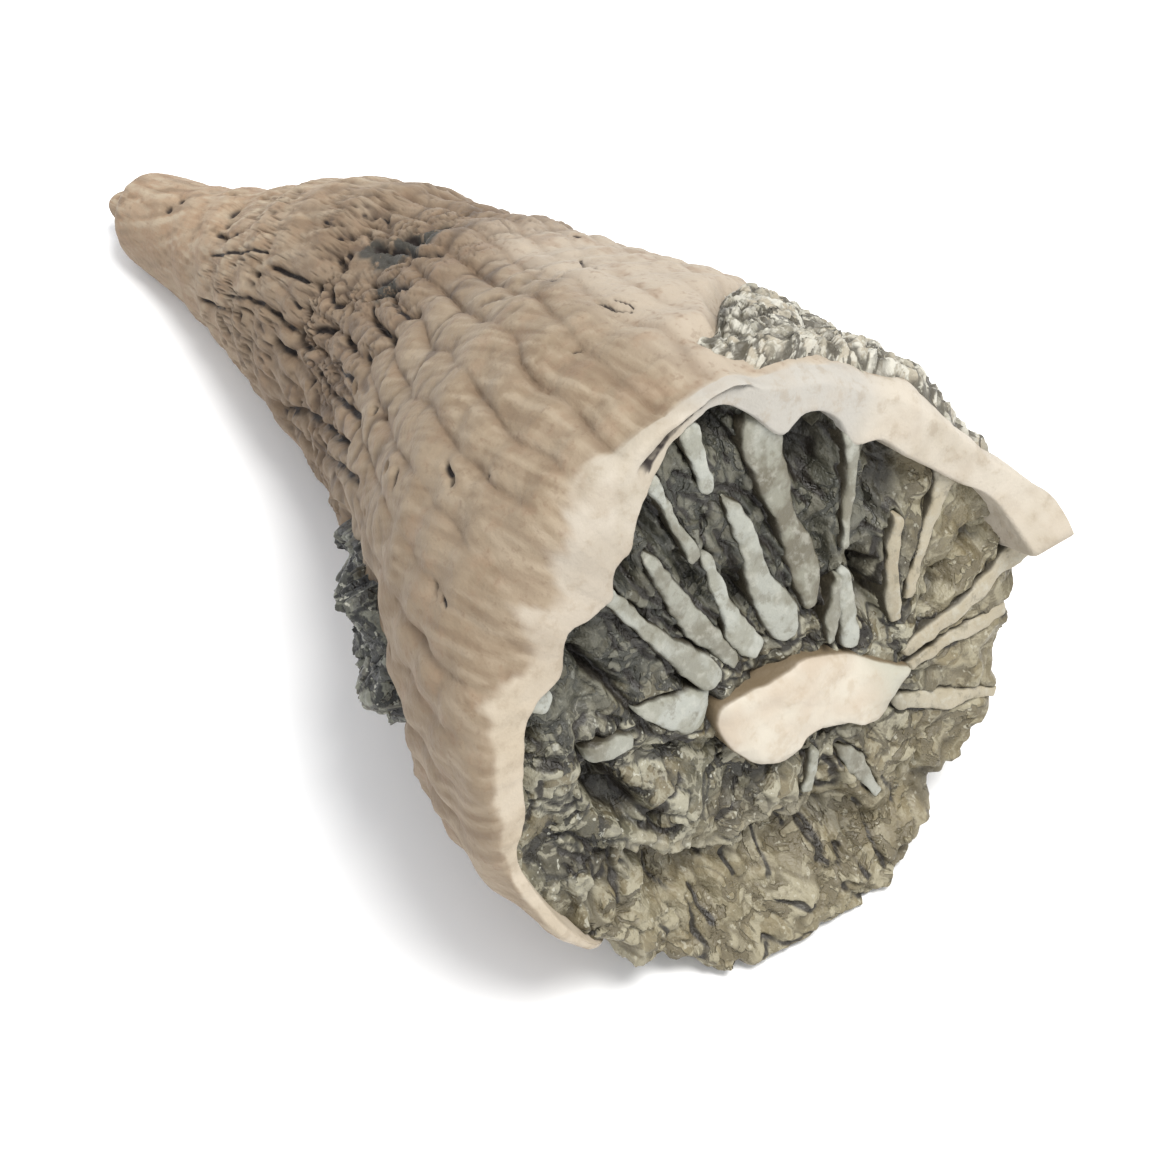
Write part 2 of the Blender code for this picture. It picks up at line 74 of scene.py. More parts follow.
# Growth levels: x, y of the middle, radius
HORN_LEVELS = (
    (-34.5, -0.45, 2.15),
    (-31.0, 0.55, 2.8),
    (-27.5, 1.5, 3.9),
    (-24.0, 2.3, 5.1),
    (-20.0, 2.95, 6.15),
    (-16.0, 3.35, 7.0),
    (-12.0, 3.45, 8.2),
    (-8.0, 3.0, 9.4),
    (-4.0, 2.3, 10.65),
    (0.0, 1.7, 11.95),
    (4.6, 1.45, 12.8),
    (CALYX_X, 1.7, 13.3),
)
# Turn of the growth levels in degrees, by x
HORN_HEADING = (
    (-36.6, 24.0), (-34.5, 22.0), (-27.5, 11.0), (-20.0, 2.0), (-12.0, -1.0), (0.0, 1.0), (CALYX_X, 3.6),
)
# Blunt apex with a bead at its tip: x and radius
APEX_PROFILE = (
    (-36.6, 0.0), (-36.52, 0.35), (-36.3, 0.58), (-36.0, 0.74), (-35.72, 0.86), (-35.55, 1.05),
    (-35.38, 1.4), (-35.1, 1.78), (-34.8, 2.02), (-34.5, 2.15),
)
RIB_COUNT = 36
RIB_HEIGHT = 0.22
RIB_PHASE = 95.0
RUGAE_SPACING = 2.6
RUGAE_HEIGHT = 0.1
SWELL_SIZE = 7.0
SWELL_HEIGHT = 0.22
# Bumps and dents: x, angle, spread, height
BUMPS = (
    (-27.0, 100.0, 2.0, -0.45),
    (-31.5, 108.0, 2.4, 0.2),
    (-22.0, 98.0, 3.0, 0.3),
    (-12.5, 95.0, 2.6, 0.3),
    (-8.5, 92.0, 2.4, -0.3),
    (CALYX_X, -6.0, 4.6, 2.5),
    (CALYX_X, 262.0, 5.0, 0.7),
)
BREAK_START = 217.0
BREAK_END = 358.0
BREAK_DEPTH = 4.0
BREAK_RISE_START = 24.0
BREAK_RISE_END = 13.0
RIM_RAGGED = 0.35
RIM_PLACE = 0.4            # which slice of the noise the rim's ragged edge follows
# For each angle, where the crusts start and end along x
UPPER_CRUST = (
    (6.0, 5.2, 8.6), (14.0, 3.0, 8.8), (24.0, 1.6, 8.9), (40.0, 0.9, 8.9), (56.0, 2.1, 8.9),
    (66.0, 4.2, 8.9), (75.0, 7.0, 8.8),
)
LOWER_CRUST = (
    (167.0, -6.0, -0.6), (174.0, -8.4, 0.8), (183.0, -8.9, 1.4), (192.0, -8.0, 0.8), (201.0, -5.6, -1.6),
)
SCAR_DEPTH = 0.75
SCAR_MARGIN = 2.2
SPIKE_CUT = (338.0, 2.6, 1.6)      # angle, spread and depth of the cut below the rim's spike
SPIKE_RISE = (-1.5, 5.0, 1.7)      # angle, spread and height of the spike
# Multipliers that turn whole numbers and places into scattered ones
SCATTER_STEPS = (12.9898, 78.233, 37.719)
SCATTER_SCALE = 43758.5453


def smooth_through(points, x):
    """Values at x of a smooth curve through (x, value) points."""
    at = np.array([point[0] for point in points])
    value = np.array([point[1] for point in points])
    index = np.arange(len(at))
    before, after = np.maximum(index - 1, 0), np.minimum(index + 1, len(at) - 1)
    slope = (value[after] - value[before]) / (at[after] - at[before])
    x = np.clip(x, at[0], at[-1])
    i = np.clip(np.searchsorted(at, x, side="right") - 1, 0, len(at) - 2)
    span = at[i + 1] - at[i]
    t = (x - at[i]) / span
    return (
        (2 * t ** 3 - 3 * t ** 2 + 1) * value[i]
        + (t ** 3 - 2 * t ** 2 + t) * span * slope[i]
        + (3 * t ** 2 - 2 * t ** 3) * value[i + 1]
        + (t ** 3 - t ** 2) * span * slope[i + 1]
    )


def smooth_round(points, angle):
    """Values at angles of a closed smooth curve through (degrees, value) points."""
    low = points[0][0]
    last = points[-1]
    after = [(a + 360.0, v) for a, v in points[:2]]
    return smooth_through([(last[0] - 360.0, last[1]), *points, *after], low + (angle - low) % 360.0)


def ramp(value, start, end):
    """0 before start, 1 after end, with a smooth change between."""
    t = np.clip((value - start) / (end - start), 0.0, 1.0)
    return t * t * (3.0 - 2.0 * t)


def angle_from(a, b):
    """Angle from b to a, within half a turn either way."""
    return (a - b + 180.0) % 360.0 - 180.0


def angle_apart(a, b):
    return np.abs(angle_from(a, b))


def scattered(seed):
    """A number from 0 to 1 for each seed, in no visible order."""
    return (np.sin(seed) * SCATTER_SCALE) % 1.0


def perlin(points):
    """Smooth noise from about -0.5 to 0.5 at each row of points."""
    flat = points.reshape(-1, 3).tolist()
    return np.array([noise.noise(p) for p in flat]).reshape(points.shape[:-1])


def rough(points, octaves, roughness=1.0):
    """Noise with finer and finer grain."""
    flat = points.reshape(-1, 3).tolist()
    return np.array([noise.fractal(p, roughness, 2.0, octaves) for p in flat]).reshape(points.shape[:-1])


def cells(points):
    """Distance from the nearest cell border, and a scattered number for each cell."""
    border, seed = [], []
    for p in points.reshape(-1, 3).tolist():
        distances, centres = noise.voronoi(p)
        border.append(distances[1] - distances[0])
        seed.append(sum(step * part for step, part in zip(SCATTER_STEPS, centres[0])))
    shape = points.shape[:-1]
    return np.array(border).reshape(shape), scattered(np.array(seed)).reshape(shape)


def stack(*parts):
    """Points from their coordinates, each a number or an array."""
    return np.stack(np.broadcast_arrays(*parts), axis=-1)


def horn_radius(x):
    return smooth_through([(level[0], level[2]) for level in HORN_LEVELS], x)


def horn_frame(x):
    """Middle of the growth level at x, with its side and up directions."""
    x = np.asarray(x, float)
    heading = np.radians(smooth_through(HORN_HEADING, x))
    tilt_cos, tilt_sin = math.cos(SECTION_TILT), math.sin(SECTION_TILT)
    forward = stack(tilt_cos * np.cos(heading), tilt_cos * np.sin(heading), tilt_sin)
    side = stack(-np.sin(heading), np.cos(heading), 0.0)
    up = np.cross(forward, side)
    first_x = HORN_LEVELS[0][0]
    y = smooth_through([(level[0], level[1]) for level in HORN_LEVELS], x)
    y = y - np.maximum(first_x - x, 0.0) * np.tan(heading)
    return stack(x, y, horn_radius(x) * tilt_cos - REST_FLAT), side, up


def on_plane(x, u, v):
    """The point u across and v up on the growth level at x."""
    middle, side, up = horn_frame(x)
    u, v = np.asarray(u)[..., None], np.asarray(v)[..., None]
    return middle + side * u + up * v


def on_level(x, angle, radius):
    """The point at an angle and a radius on the growth level at x."""
    turn = np.radians(angle)
    return on_plane(x, radius * np.cos(turn), radius * np.sin(turn))


def eased(beyond):
    """Lengths past the start of the easing zone, pressed together so that they never fill it."""
    return np.where(beyond > 0.0, BOX_EASE * np.tanh(beyond / BOX_EASE), beyond)


def off_the_floor(points, start):
    """Points with the heights below "start" pressed together, so that all stay above the floor."""
    height = points[..., 2]
    pressed = start * np.exp(np.minimum(height / start, 1.0) - 1.0)
    return stack(points[..., 0], points[..., 1], np.where(height < start, pressed, height))


def to_metres(points):
    """Millimetres round the horn to metres round the fossil's origin, kept inside the CAD model's box."""
    moved = points - np.array((ORIGIN_X, ORIGIN_Y, 0.0))
    moved[..., 2] = np.maximum(moved[..., 2], 0.0)
    low, high = (np.array(corner) / MM for corner in CAD_BOX)
    moved = high - BOX_EASE + eased(moved - high + BOX_EASE)
    moved[..., :2] = low[:2] + BOX_EASE - eased(low[:2] + BOX_EASE - moved[..., :2])
    return moved * MM


def break_share(angle):
    """1 where the rim is broken away, 0 where it stands."""
    angle = angle % 360.0
    begun = ramp(angle, BREAK_START, BREAK_START + BREAK_RISE_START)
    return begun * (1.0 - ramp(angle, BREAK_END - BREAK_RISE_END, BREAK_END))


def rim_height(angle):
    """Height of the rim against the mouth plane."""
    turn = np.radians(angle)
    ragged = perlin(stack(np.cos(turn), np.sin(turn), RIM_PLACE) * 3.0)
    return -BREAK_DEPTH * break_share(angle) + RIM_RAGGED * ragged * (1.0 + break_share(angle))


def spike_rise(angle):
    """How far the rim stands up at its spike."""
    middle, reach, height = SPIKE_RISE
    return height * np.exp(-np.abs(angle_apart(angle, middle) / reach) ** 1.3)


def broad_relief(x, angle):
    """Growth wrinkles, swells, bumps and dents, as a change of radius."""
    turn = np.radians(angle)
    place = stack(x, horn_radius(x) * np.cos(turn), horn_radius(x) * np.sin(turn))
    swell = perlin(place / SWELL_SIZE) * SWELL_HEIGHT * 2.0
    drift = perlin(place / (2.0 * SWELL_SIZE)) * RUGAE_SPACING * 2.0
    rugae = np.sin((x + drift) / RUGAE_SPACING * math.tau) * RUGAE_HEIGHT * ramp(x, -34.0, -28.0)
    total = swell * ramp(x, -35.5, -30.0) + rugae
    for bump_x, bump_angle, width, height in BUMPS:
        across = np.radians(angle_apart(angle, bump_angle)) * horn_radius(x)
        distance = np.hypot(x - bump_x, across) / width
        total = total + height * np.exp(-distance * distance)
    return total


def crust_window(crust, x, angle):
    """1 under a crust and 0 beyond the margin of its scar."""
    first, last = crust[0][0], crust[-1][0]
    middle, reach = (first + last) / 2.0, (last - first) / 2.0
    off = angle_from(angle, middle)
    beyond_angle = np.radians(np.abs(off) - reach) * horn_radius(x)
    nearest = middle + np.clip(off, -reach, reach)
    start = smooth_through([(row[0], row[1]) for row in crust], nearest)
    end = smooth_through([(row[0], row[2]) for row in crust], nearest)
    beyond = np.maximum(start - x, x - end)
    return (1.0 - ramp(beyond_angle, 0.2, SCAR_MARGIN)) * (1.0 - ramp(beyond, 0.4, SCAR_MARGIN))


def outside_radius(x, angle):
    """Outside of the wall, with the scars under the crusts and the cut below the rim's spike."""
    cut_angle, cut_spread, cut_depth = SPIKE_CUT
    across = np.radians(angle_apart(angle, cut_angle)) * horn_radius(x)
    notch = np.hypot(x - CALYX_X, across) / cut_spread
    under_crusts = crust_window(UPPER_CRUST, x, angle) + crust_window(LOWER_CRUST, x, angle)
    scar = cut_depth * np.exp(-notch * notch) + SCAR_DEPTH * under_crusts
    return horn_radius(x) + broad_relief(x, angle) - scar


# ---------------------------------------------------------------- the photograph's camera

CAMERA_AZIMUTH = 56.0
CAMERA_ELEVATION = 50.0
CAMERA_DISTANCE = 200.0
CAMERA_TARGET = (0.0, 0.0, 10.0 - REST_FLAT)   # the middle of the photograph
FOCAL_PIXELS = 4927.6
IMAGE_PIXELS = 1170.0
SENSOR = 36.0
HORN_GRID_X = (-36.0, 8.0, 0.2)           # start, end and step of the places that marks are carried to
HORN_GRID_ANGLE = (20.0, 215.0, 0.8)
MARK_LEVEL = -0.6          # height of the calyx's marks against the mouth plane


def camera_axes():
    """The camera's right, up and backward directions."""
    azimuth, elevation = math.radians(CAMERA_AZIMUTH), math.radians(CAMERA_ELEVATION)
    level = math.cos(elevation)
    back = np.array((math.sin(azimuth) * level, -math.cos(azimuth) * level, math.sin(elevation)))
    right = np.array((math.cos(azimuth), math.sin(azimuth), 0.0))
    return right, np.cross(back, right), back


def camera_place():
    """Where the camera stands, in millimetres round the horn."""
    return np.array(CAMERA_TARGET) + camera_axes()[2] * CAMERA_DISTANCE


def pixels_to_mouth(pixels):
    """(u, v) on the mouth plane for places named by their pixels in the photograph."""
    right, up, back = camera_axes()
    across, down = ((np.array(pixels, float) - IMAGE_PIXELS / 2.0) / FOCAL_PIXELS).T
    ray = across[:, None] * right - down[:, None] * up - back
    middle, side, lift = horn_frame(CALYX_X + MARK_LEVEL)
    normal = np.cross(side, lift)
    reach = ((middle - camera_place()) @ normal) / (ray @ normal)
    where = camera_place() + ray * reach[:, None] - middle
    return [tuple(pair) for pair in np.stack([where @ side, where @ lift], axis=1)]


def seen_horn():
    """Places on the side of the horn that the photograph shows: x, angle and pixels across and down."""
    right, up, back = camera_axes()
    x, angle = (grid.ravel() for grid in np.meshgrid(np.arange(*HORN_GRID_X), np.arange(*HORN_GRID_ANGLE)))
    place = on_level(x, angle, outside_radius(x, angle))
    seen = (place - on_level(x, angle, 0.0)) @ back > 0.0
    away = place[seen] - camera_place()
    scale = FOCAL_PIXELS / (away @ back)
    across, down = IMAGE_PIXELS / 2.0 - scale * (away @ right), IMAGE_PIXELS / 2.0 + scale * (away @ up)
    return x[seen], angle[seen], across, down


SEEN_HORN = seen_horn()


def pixels_to_horn(pixels):
    """(x, angle) on the outside for places named by their pixels in the photograph."""
    x, angle, across, down = SEEN_HORN
    nearest = [np.argmin(np.hypot(across - px, down - py)) for px, py in pixels]
    return [(x[index], angle[index]) for index in nearest]


# ---------------------------------------------------------------- fine relief of the outside

# Radius of the calyx's inner edge by angle, with the bays that the pockets bite into it
CALYX_EDGE = (
    (-8.0, 12.9), (0.0, 12.9), (9.0, 12.3), (16.0, 11.4), (24.0, 10.8), (33.0, 10.4), (42.0, 10.4),
    (49.0, 9.8), (56.0, 10.7), (64.0, 11.0), (71.0, 10.2), (79.0, 11.4), (86.0, 12.3), (96.0, 12.0),
    (101.0, 11.3), (108.0, 10.8), (116.0, 9.7), (122.0, 9.8), (128.0, 9.0), (134.0, 9.5), (139.0, 10.2),
    (149.0, 9.7), (156.0, 10.7), (170.0, 11.2), (180.0, 11.3), (187.0, 12.1), (200.0, 12.2), (215.0, 12.3),
    (231.0, 12.3), (262.0, 11.8), (300.0, 11.5), (335.0, 12.0),
)
# Cracks and slits: half-width and depth, then the pixels of the photograph that each passes through
CREASES = (
    (0.14, 0.3, (164, 210), (181, 199)),
    (0.15, 0.35, (240, 203), (231, 214), (224, 229), (218, 235), (226, 239), (238, 232)),
    (0.1, 0.2, (212, 254), (222, 254), (232, 252), (248, 250), (266, 252)),
    (0.15, 0.35, (270, 266), (278, 271), (288, 273), (303, 281)),
    (0.12, 0.3, (334, 237), (344, 236), (360, 233), (370, 233), (371, 241)),
    (0.1, 0.2, (320, 226), (326, 226), (329, 222), (324, 218)),
    (0.1, 0.25, (364, 215), (380, 215), (386, 219), (390, 225)), (0.18, 0.45, (338, 257), (343, 269)),
    (0.15, 0.4, (347, 252), (350, 258)), (0.18, 0.45, (318, 284), (319, 294)),
    (0.18, 0.45, (330, 286), (329, 300)), (0.2, 0.5, (334, 305), (341, 304)),
    (0.16, 0.45, (309, 308), (309, 317)), (0.14, 0.35, (350, 306), (350, 314)),
    (0.24, 0.6, (298, 330), (300, 338)), (0.22, 0.6, (312, 331), (322, 327), (333, 333)),
    (0.18, 0.5, (300, 346), (310, 347), (309, 338)),
    (0.16, 0.45, (370, 308), (370, 318), (380, 328), (386, 336), (394, 341)),
    (0.12, 0.3, (391, 300), (398, 309), (406, 314), (420, 312)),
    (0.14, 0.4, (344, 336), (349, 344), (352, 352)), (0.2, 0.45, (364, 354), (366, 360)),
    (0.2, 0.5, (274, 340), (280, 348), (290, 353)),
    (0.16, 0.4, (256, 300), (262, 306), (270, 313), (280, 320), (292, 332)),
    (0.12, 0.3, (200, 300), (212, 305), (222, 309)), (0.16, 0.35, (220, 320), (228, 334)),
    (0.12, 0.25, (226, 296), (244, 298), (254, 302)), (0.12, 0.25, (290, 298), (295, 308)),
    (0.16, 0.4, (309, 374), (309, 385)), (0.15, 0.4, (318, 375), (326, 382), (327, 393)),
    (0.12, 0.25, (339, 370), (345, 376), (352, 381)),
    (0.16, 0.4, (331, 393), (343, 402), (350, 414), (358, 418)),
    (0.2, 0.5, (281, 411), (298, 411), (315, 419), (332, 432), (342, 441), (347, 451)),
    (0.2, 0.5, (287, 424), (297, 430), (305, 437), (310, 445)),
    (0.2, 0.5, (322, 447), (332, 457), (342, 467), (347, 477), (356, 482)),
    (0.18, 0.45, (327, 485), (335, 502), (341, 520)), (0.2, 0.5, (341, 535), (346, 547), (349, 560)),
    (0.18, 0.4, (374, 575), (375, 590), (376, 607), (381, 617), (380, 637)),
    (0.16, 0.4, (380, 640), (382, 662), (387, 682), (392, 700), (400, 719)),
    (0.15, 0.4, (446, 467), (451, 475), (452, 482)), (0.12, 0.3, (395, 472), (392, 487)),
    (0.1, 0.25, (432, 585), (433, 597)), (0.1, 0.25, (442, 600), (444, 607)),
    (0.2, 0.5, (376, 246), (394, 248), (406, 250), (416, 253), (438, 252)),
    (0.2, 0.45, (406, 236), (414, 237), (420, 241)), (0.14, 0.3, (424, 230), (438, 227), (452, 224)),
    (0.18, 0.45, (370, 285), (380, 282), (388, 280), (396, 274)),
    (0.18, 0.45, (370, 297), (380, 296), (390, 290), (400, 287), (412, 285)),
    (0.09, 0.2, (535, 278), (554, 280), (566, 271)), (0.08, 0.2, (579, 258), (596, 268)),
    (0.08, 0.2, (598, 302), (613, 308), (632, 310)), (0.07, 0.15, (613, 300), (628, 302), (632, 308)),
    (0.09, 0.25, (571, 349), (578, 344)),
)
# Small pits: radius and depth, then the pixel of the photograph
PITS = (
    (0.2, 0.4, (254, 273)), (0.24, 0.5, (416, 313)), (0.2, 0.45, (355, 388)), (0.2, 0.45, (374, 412)),
    (0.2, 0.45, (384, 414)), (0.22, 0.5, (360, 532)), (0.24, 0.5, (386, 467)), (0.14, 0.3, (364, 515)),
    (0.12, 0.2, (486, 475)), (0.2, 0.4, (357, 426)), (0.16, 0.4, (232, 193)), (0.16, 0.4, (266, 197)),
)
# Dark stain: spread, then the pixel of the photograph
STAINS = (
    (0.9, (388, 256)), (1.1, (400, 252)), (1.1, (412, 244)), (0.9, (426, 238)), (0.7, (442, 230)),
    (0.6, (372, 250)), (0.7, (386, 288)),
)
SCATTERED_PITS = 170
SCATTER_SEED = 11
SMOOTH_TOP = (62.0, 17.0, 32.0)    # angle of the smooth stretch, and how far from it its edge starts and ends
RIB_RELIEF = 2.0 * RIB_HEIGHT
BEAD_SPACING = 1.6
BEAD_HEIGHT = 0.12
CORD_SIZE = (2.3, 0.85, 0.85)      # along the horn, and across it
CORD_DEPTH = 0.2
FINE_CORD_DEPTH = 0.08
STREAK_SIZE = (1.9, 0.42)
STREAK_HEIGHT = 0.04
GRAIN_SIZE = 1.1
GRAIN_HEIGHT = 0.05
CRACK_REACH = (4.0, 25.0)          # millimetres and degrees round a crack within which it is worked out
PIT_REACH = (1.5, 30.0)
CRACK_WANDER = 0.12


def scattered_pits():
    """More pits for the sides that carry none of the listed pits."""
    random = np.random.default_rng(SCATTER_SEED)
    rows = []
    while len(rows) < SCATTERED_PITS:
        x, angle = random.uniform(-28.0, 6.0), random.uniform(0.0, 360.0)
        radius, depth = random.uniform(0.1, 0.26), random.uniform(0.2, 0.5)
        likely = 1.0 - ramp(x, -8.0, 4.0) * 0.75
        if random.random() < likely and angle_apart(angle, 110.0) > 48.0:
            rows.append((radius, depth, x, angle))
    return rows


def near_mark(x, angle, middle_x, middle_angle, reach):
    """Which places are near enough to a mark for it to show there."""
    return (np.abs(x - middle_x) < reach[0]) & (angle_apart(angle, middle_angle) < reach[1])


def marks(x, angle, radius):
    """Depth and darkness of the cracks and pits; the darkness is painted shade in them."""
    depth, dark = np.zeros_like(x), np.zeros_like(x)
    around = np.radians(angle) * radius

    def cut(near, deep, bite):
        depth[near] = np.maximum(depth[near], deep * bite)
        dark[near] = np.maximum(dark[near], bite)

    for width, deep, *pixels in CREASES:
        points = pixels_to_horn(pixels)
        for (x0, a0), (x1, a1) in zip(points, points[1:]):
            near = near_mark(x, angle, (x0 + x1) / 2, (a0 + a1) / 2, CRACK_REACH)
            px, py = x[near] - x0, np.radians(angle_from(angle[near], a0)) * radius[near]
            qx, qy = x1 - x0, math.radians(a1 - a0) * float(horn_radius(np.array((x0 + x1) / 2)))
            t = np.clip((px * qx + py * qy) / max(qx * qx + qy * qy, 0.01), 0.0, 1.0)
            wander = CRACK_WANDER * perlin(stack(x[near] * 1.3, around[near] * 1.3, 4.0))
            away = np.hypot(px - qx * t, py - qy * t + wander) / width
            cut(near, deep, np.exp(-away * away))
    spots = [(size, deep, *pixels_to_horn([pixel])[0]) for size, deep, pixel in PITS]
    for size, deep, px, pa in (*spots, *scattered_pits()):
        near = near_mark(x, angle, px, pa, PIT_REACH)
        across = np.radians(angle_from(angle[near], pa)) * radius[near]
        away = np.hypot(x[near] - px, across) / size
        cut(near, deep, np.exp(-away ** 3))
    return depth, dark


def stain(x, angle):
    """1 in the middle of the dark stain and 0 beyond it."""
    total = np.zeros_like(x)
    for reach, pixel in STAINS:
        stain_x, stain_angle = pixels_to_horn([pixel])[0]
        across = np.radians(angle_apart(angle, stain_angle)) * horn_radius(x)
        total = np.maximum(total, np.exp(-((x - stain_x) ** 2 + across ** 2) / reach ** 2))
    return total


def fine_relief(x, angle):
    """Ribs, beads, wrinkles, cracks and grain: change of radius and the masks for the colours."""
    radius = horn_radius(x)
    turn = np.radians(angle)
    place = stack(x, radius * np.cos(turn), radius * np.sin(turn))
    wander = 3.0 * perlin(place / 6.0) + 1.6 * perlin(place / 2.2)
    rib_turn = (angle - RIB_PHASE + wander) / 360.0 * RIB_COUNT
    rib_share = rib_turn % 1.0
    crest = np.sin(math.pi * rib_share) ** 0.55
    smooth_top = (1.0 - ramp(angle_apart(angle, SMOOTH_TOP[0]), *SMOOTH_TOP[1:])) * ramp(x, -15.0, -8.0)
    fade = ramp(x, -26.0, -12.0)
    strength = np.clip(0.8 + 0.9 * perlin(place / 4.0 + 9.0), 0.2, 1.2) * (1.0 - 0.6 * smooth_top)

    # Beads: swellings along each rib, out of step with the next rib's
    number = np.floor(rib_turn) % RIB_COUNT
    step = scattered(number * SCATTER_STEPS[0])
    bead_turn = (x + 1.3 * perlin(place / 1.8)) / BEAD_SPACING + step * 7.0
    bead = ramp(0.5 + 0.5 * np.cos(bead_turn * math.tau), 0.0, 0.4)
    bead_share = ramp(x, -23.0, -16.0) * (1.0 - 0.85 * ramp(x, -5.0, 2.0)) * (1.0 - 0.8 * smooth_top)
    bead_share = bead_share * ramp(perlin(place / 1.3 + 60.0), -0.3, 0.15)

    # Wrinkles like laid cords over the middle of the horn, drawn out along it
    warp = stack(perlin(place / 2.2), perlin(place / 2.2 + 20.0), perlin(place / 2.2 + 40.0)) * 1.9
    cord_place = (place + warp) / np.array(CORD_SIZE)
    cord = ramp(np.abs(perlin(cord_place)), 0.0, 0.09)
    fine_cord = ramp(np.abs(perlin(cord_place * 2.3 + 7.0)), 0.0, 0.1)
    cord_share = ramp(x, -30.0, -23.0) * (1.0 - ramp(x, -13.0, -7.0)) * (1.0 - 0.6 * smooth_top)
    cord_share = cord_share * (0.35 + 0.65 * ramp(perlin(place / 3.0 + 5.0), -0.2, 0.15))
    fine_share = 0.2 + 0.8 * cord_share
    drift = 3.0 * perlin(place / 3.0)
    streak = rough(stack((x + drift) / STREAK_SIZE[0], radius * turn / STREAK_SIZE[1], 0.0 * x), 2)

    grain = rough(place / GRAIN_SIZE, 4, 0.8) * GRAIN_HEIGHT
    mark_depth, mark_dark = marks(x, angle, radius)
    change = RIB_RELIEF * (crest - 0.75) * fade * strength
    change = change + BEAD_HEIGHT * (bead - 0.8) * bead_share * crest
    change = change + CORD_DEPTH * (cord - 0.9) * cord_share
    change = change + FINE_CORD_DEPTH * (fine_cord - 0.9) * fine_share + STREAK_HEIGHT * streak
    change = change + grain * ramp(x, -36.5, -34.0) - mark_depth
    groove = ramp(1.0 - crest, 0.1, 0.8) * fade * np.clip(strength, 0.0, 1.1)
    crease = np.maximum((1.0 - cord) * cord_share, 0.6 * (1.0 - fine_cord) * cord_share)
    crease = np.maximum(crease, 0.7 * (1.0 - bead) * bead_share)
    masks = {
        "groove": groove,
        "crease": crease,
        "dark": mark_dark,
        "stain": stain(x, angle) * ramp(perlin(place / 0.9 + 30.0), -0.5, 0.0),
        # The smooth top is paler: partly its own paler colour, partly painted light on the top
        "pale": smooth_top,
        "streak": 0.5 + 0.5 * streak,
        "pick": scattered(number * SCATTER_STEPS[1] + np.floor(bead_turn) * SCATTER_STEPS[2]),
    }
    return change, masks


# ---------------------------------------------------------------- mesh makers

def closed_mesh(name, rows, masks):
    """A closed surface through rings of points. The first and the last ring are each one point."""
    def in_order(values):
        rings = values[1:-1].reshape(-1, *values.shape[2:])
        return np.concatenate([rings, values[0, :1], values[-1, :1]]).astype(np.float32).reshape(-1)

    count, around = rows.shape[0] - 2, rows.shape[1]
    index = np.arange(count * around).reshape(count, around)
    following = np.roll(index, -1, axis=1)
    first, last = np.full(around, index.size), np.full(around, index.size + 1)
    quads = stack(index[:-1], following[:-1], following[1:], index[1:]).reshape(-1, 4)
    fans = (stack(first, following[0], index[0]), stack(last, index[-1], following[-1]))
    counts = np.concatenate([np.full(len(quads), 4), np.full(2 * around, 3)])
    corners = np.concatenate([faces.reshape(-1) for faces in (quads, *fans)])
    mesh = bpy.data.meshes.new(name)
    mesh.vertices.add(index.size + 2)
    mesh.vertices.foreach_set("co", in_order(rows))
    mesh.loops.add(len(corners))
    mesh.loops.foreach_set("vertex_index", corners.astype(np.int32))
    mesh.polygons.add(len(counts))
    mesh.polygons.foreach_set("loop_start", (np.cumsum(counts) - counts).astype(np.int32))
    mesh.update(calc_edges=True)
    mesh.shade_smooth()
    for key, values in masks.items():
        mesh.attributes.new(key, "FLOAT", "POINT").data.foreach_set("value", in_order(values))
    obj = bpy.data.objects.new(name, mesh)
    bpy.context.scene.collection.objects.link(obj)
    return obj


def place_piece(obj, material, node):
    """Finish a piece, which rides on the root and stands for its CAD node."""
    obj.data.materials.append(material)
    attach(obj, "root")
    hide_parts(node)


def spread(stretches):
    """Positions along a line, as (start, end, count) stretches, with the last end included."""
    parts = [np.linspace(start, end, count, endpoint=False) for start, end, count in stretches]
    return np.concatenate([*parts, [stretches[-1][1]]])


# ---------------------------------------------------------------- the skeleton's wall

# Stretches of the mesh: start, end and count
APEX_STRETCHES = ((-36.6, -35.4, 9), (-35.4, -34.5, 5))
WALL_STRETCHES = ((-34.5, -18.0, 42), (-18.0, -4.0, 96), (-4.0, 6.2, 56))   # along x, up to the shoulder
COLUMN_STRETCHES = (
    (20.0, 75.0, 50), (75.0, 155.0, 176), (155.0, 200.0, 54), (200.0, 335.0, 50), (335.0, 380.0, 42),
)
# The calyx's inner wall: share of its depth, and share of the radius of its edge
CALYX_WALL = ((0.06, 1.0), (0.3, 0.97), (0.62, 0.9), (0.9, 0.74), (0.98, 0.42), (1.0, 0.0))
# Length of the rounded shoulder along x, and its share of the wall's thickness, by angle
SHOULDER_LENGTH = (
    (-10.0, 0.5), (2.0, 0.7), (14.0, 1.2), (30.0, 1.2), (70.0, 0.8), (98.0, 0.55), (110.0, 0.9),
    (120.0, 1.7), (131.0, 2.8), (144.0, 2.8), (154.0, 1.9), (163.0, 1.2), (185.0, 1.4), (200.0, 2.4),
    (225.0, 2.6), (260.0, 1.2), (335.0, 0.8),
)
SHOULDER_SHARE = (
    (-10.0, 0.12), (2.0, 0.15), (14.0, 0.25), (70.0, 0.25), (98.0, 0.18), (112.0, 0.35), (122.0, 0.6),
    (132.0, 0.8), (144.0, 0.8), (155.0, 0.5), (165.0, 0.3), (185.0, 0.4), (200.0, 0.6), (225.0, 0.65),
    (260.0, 0.3), (335.0, 0.2),
)
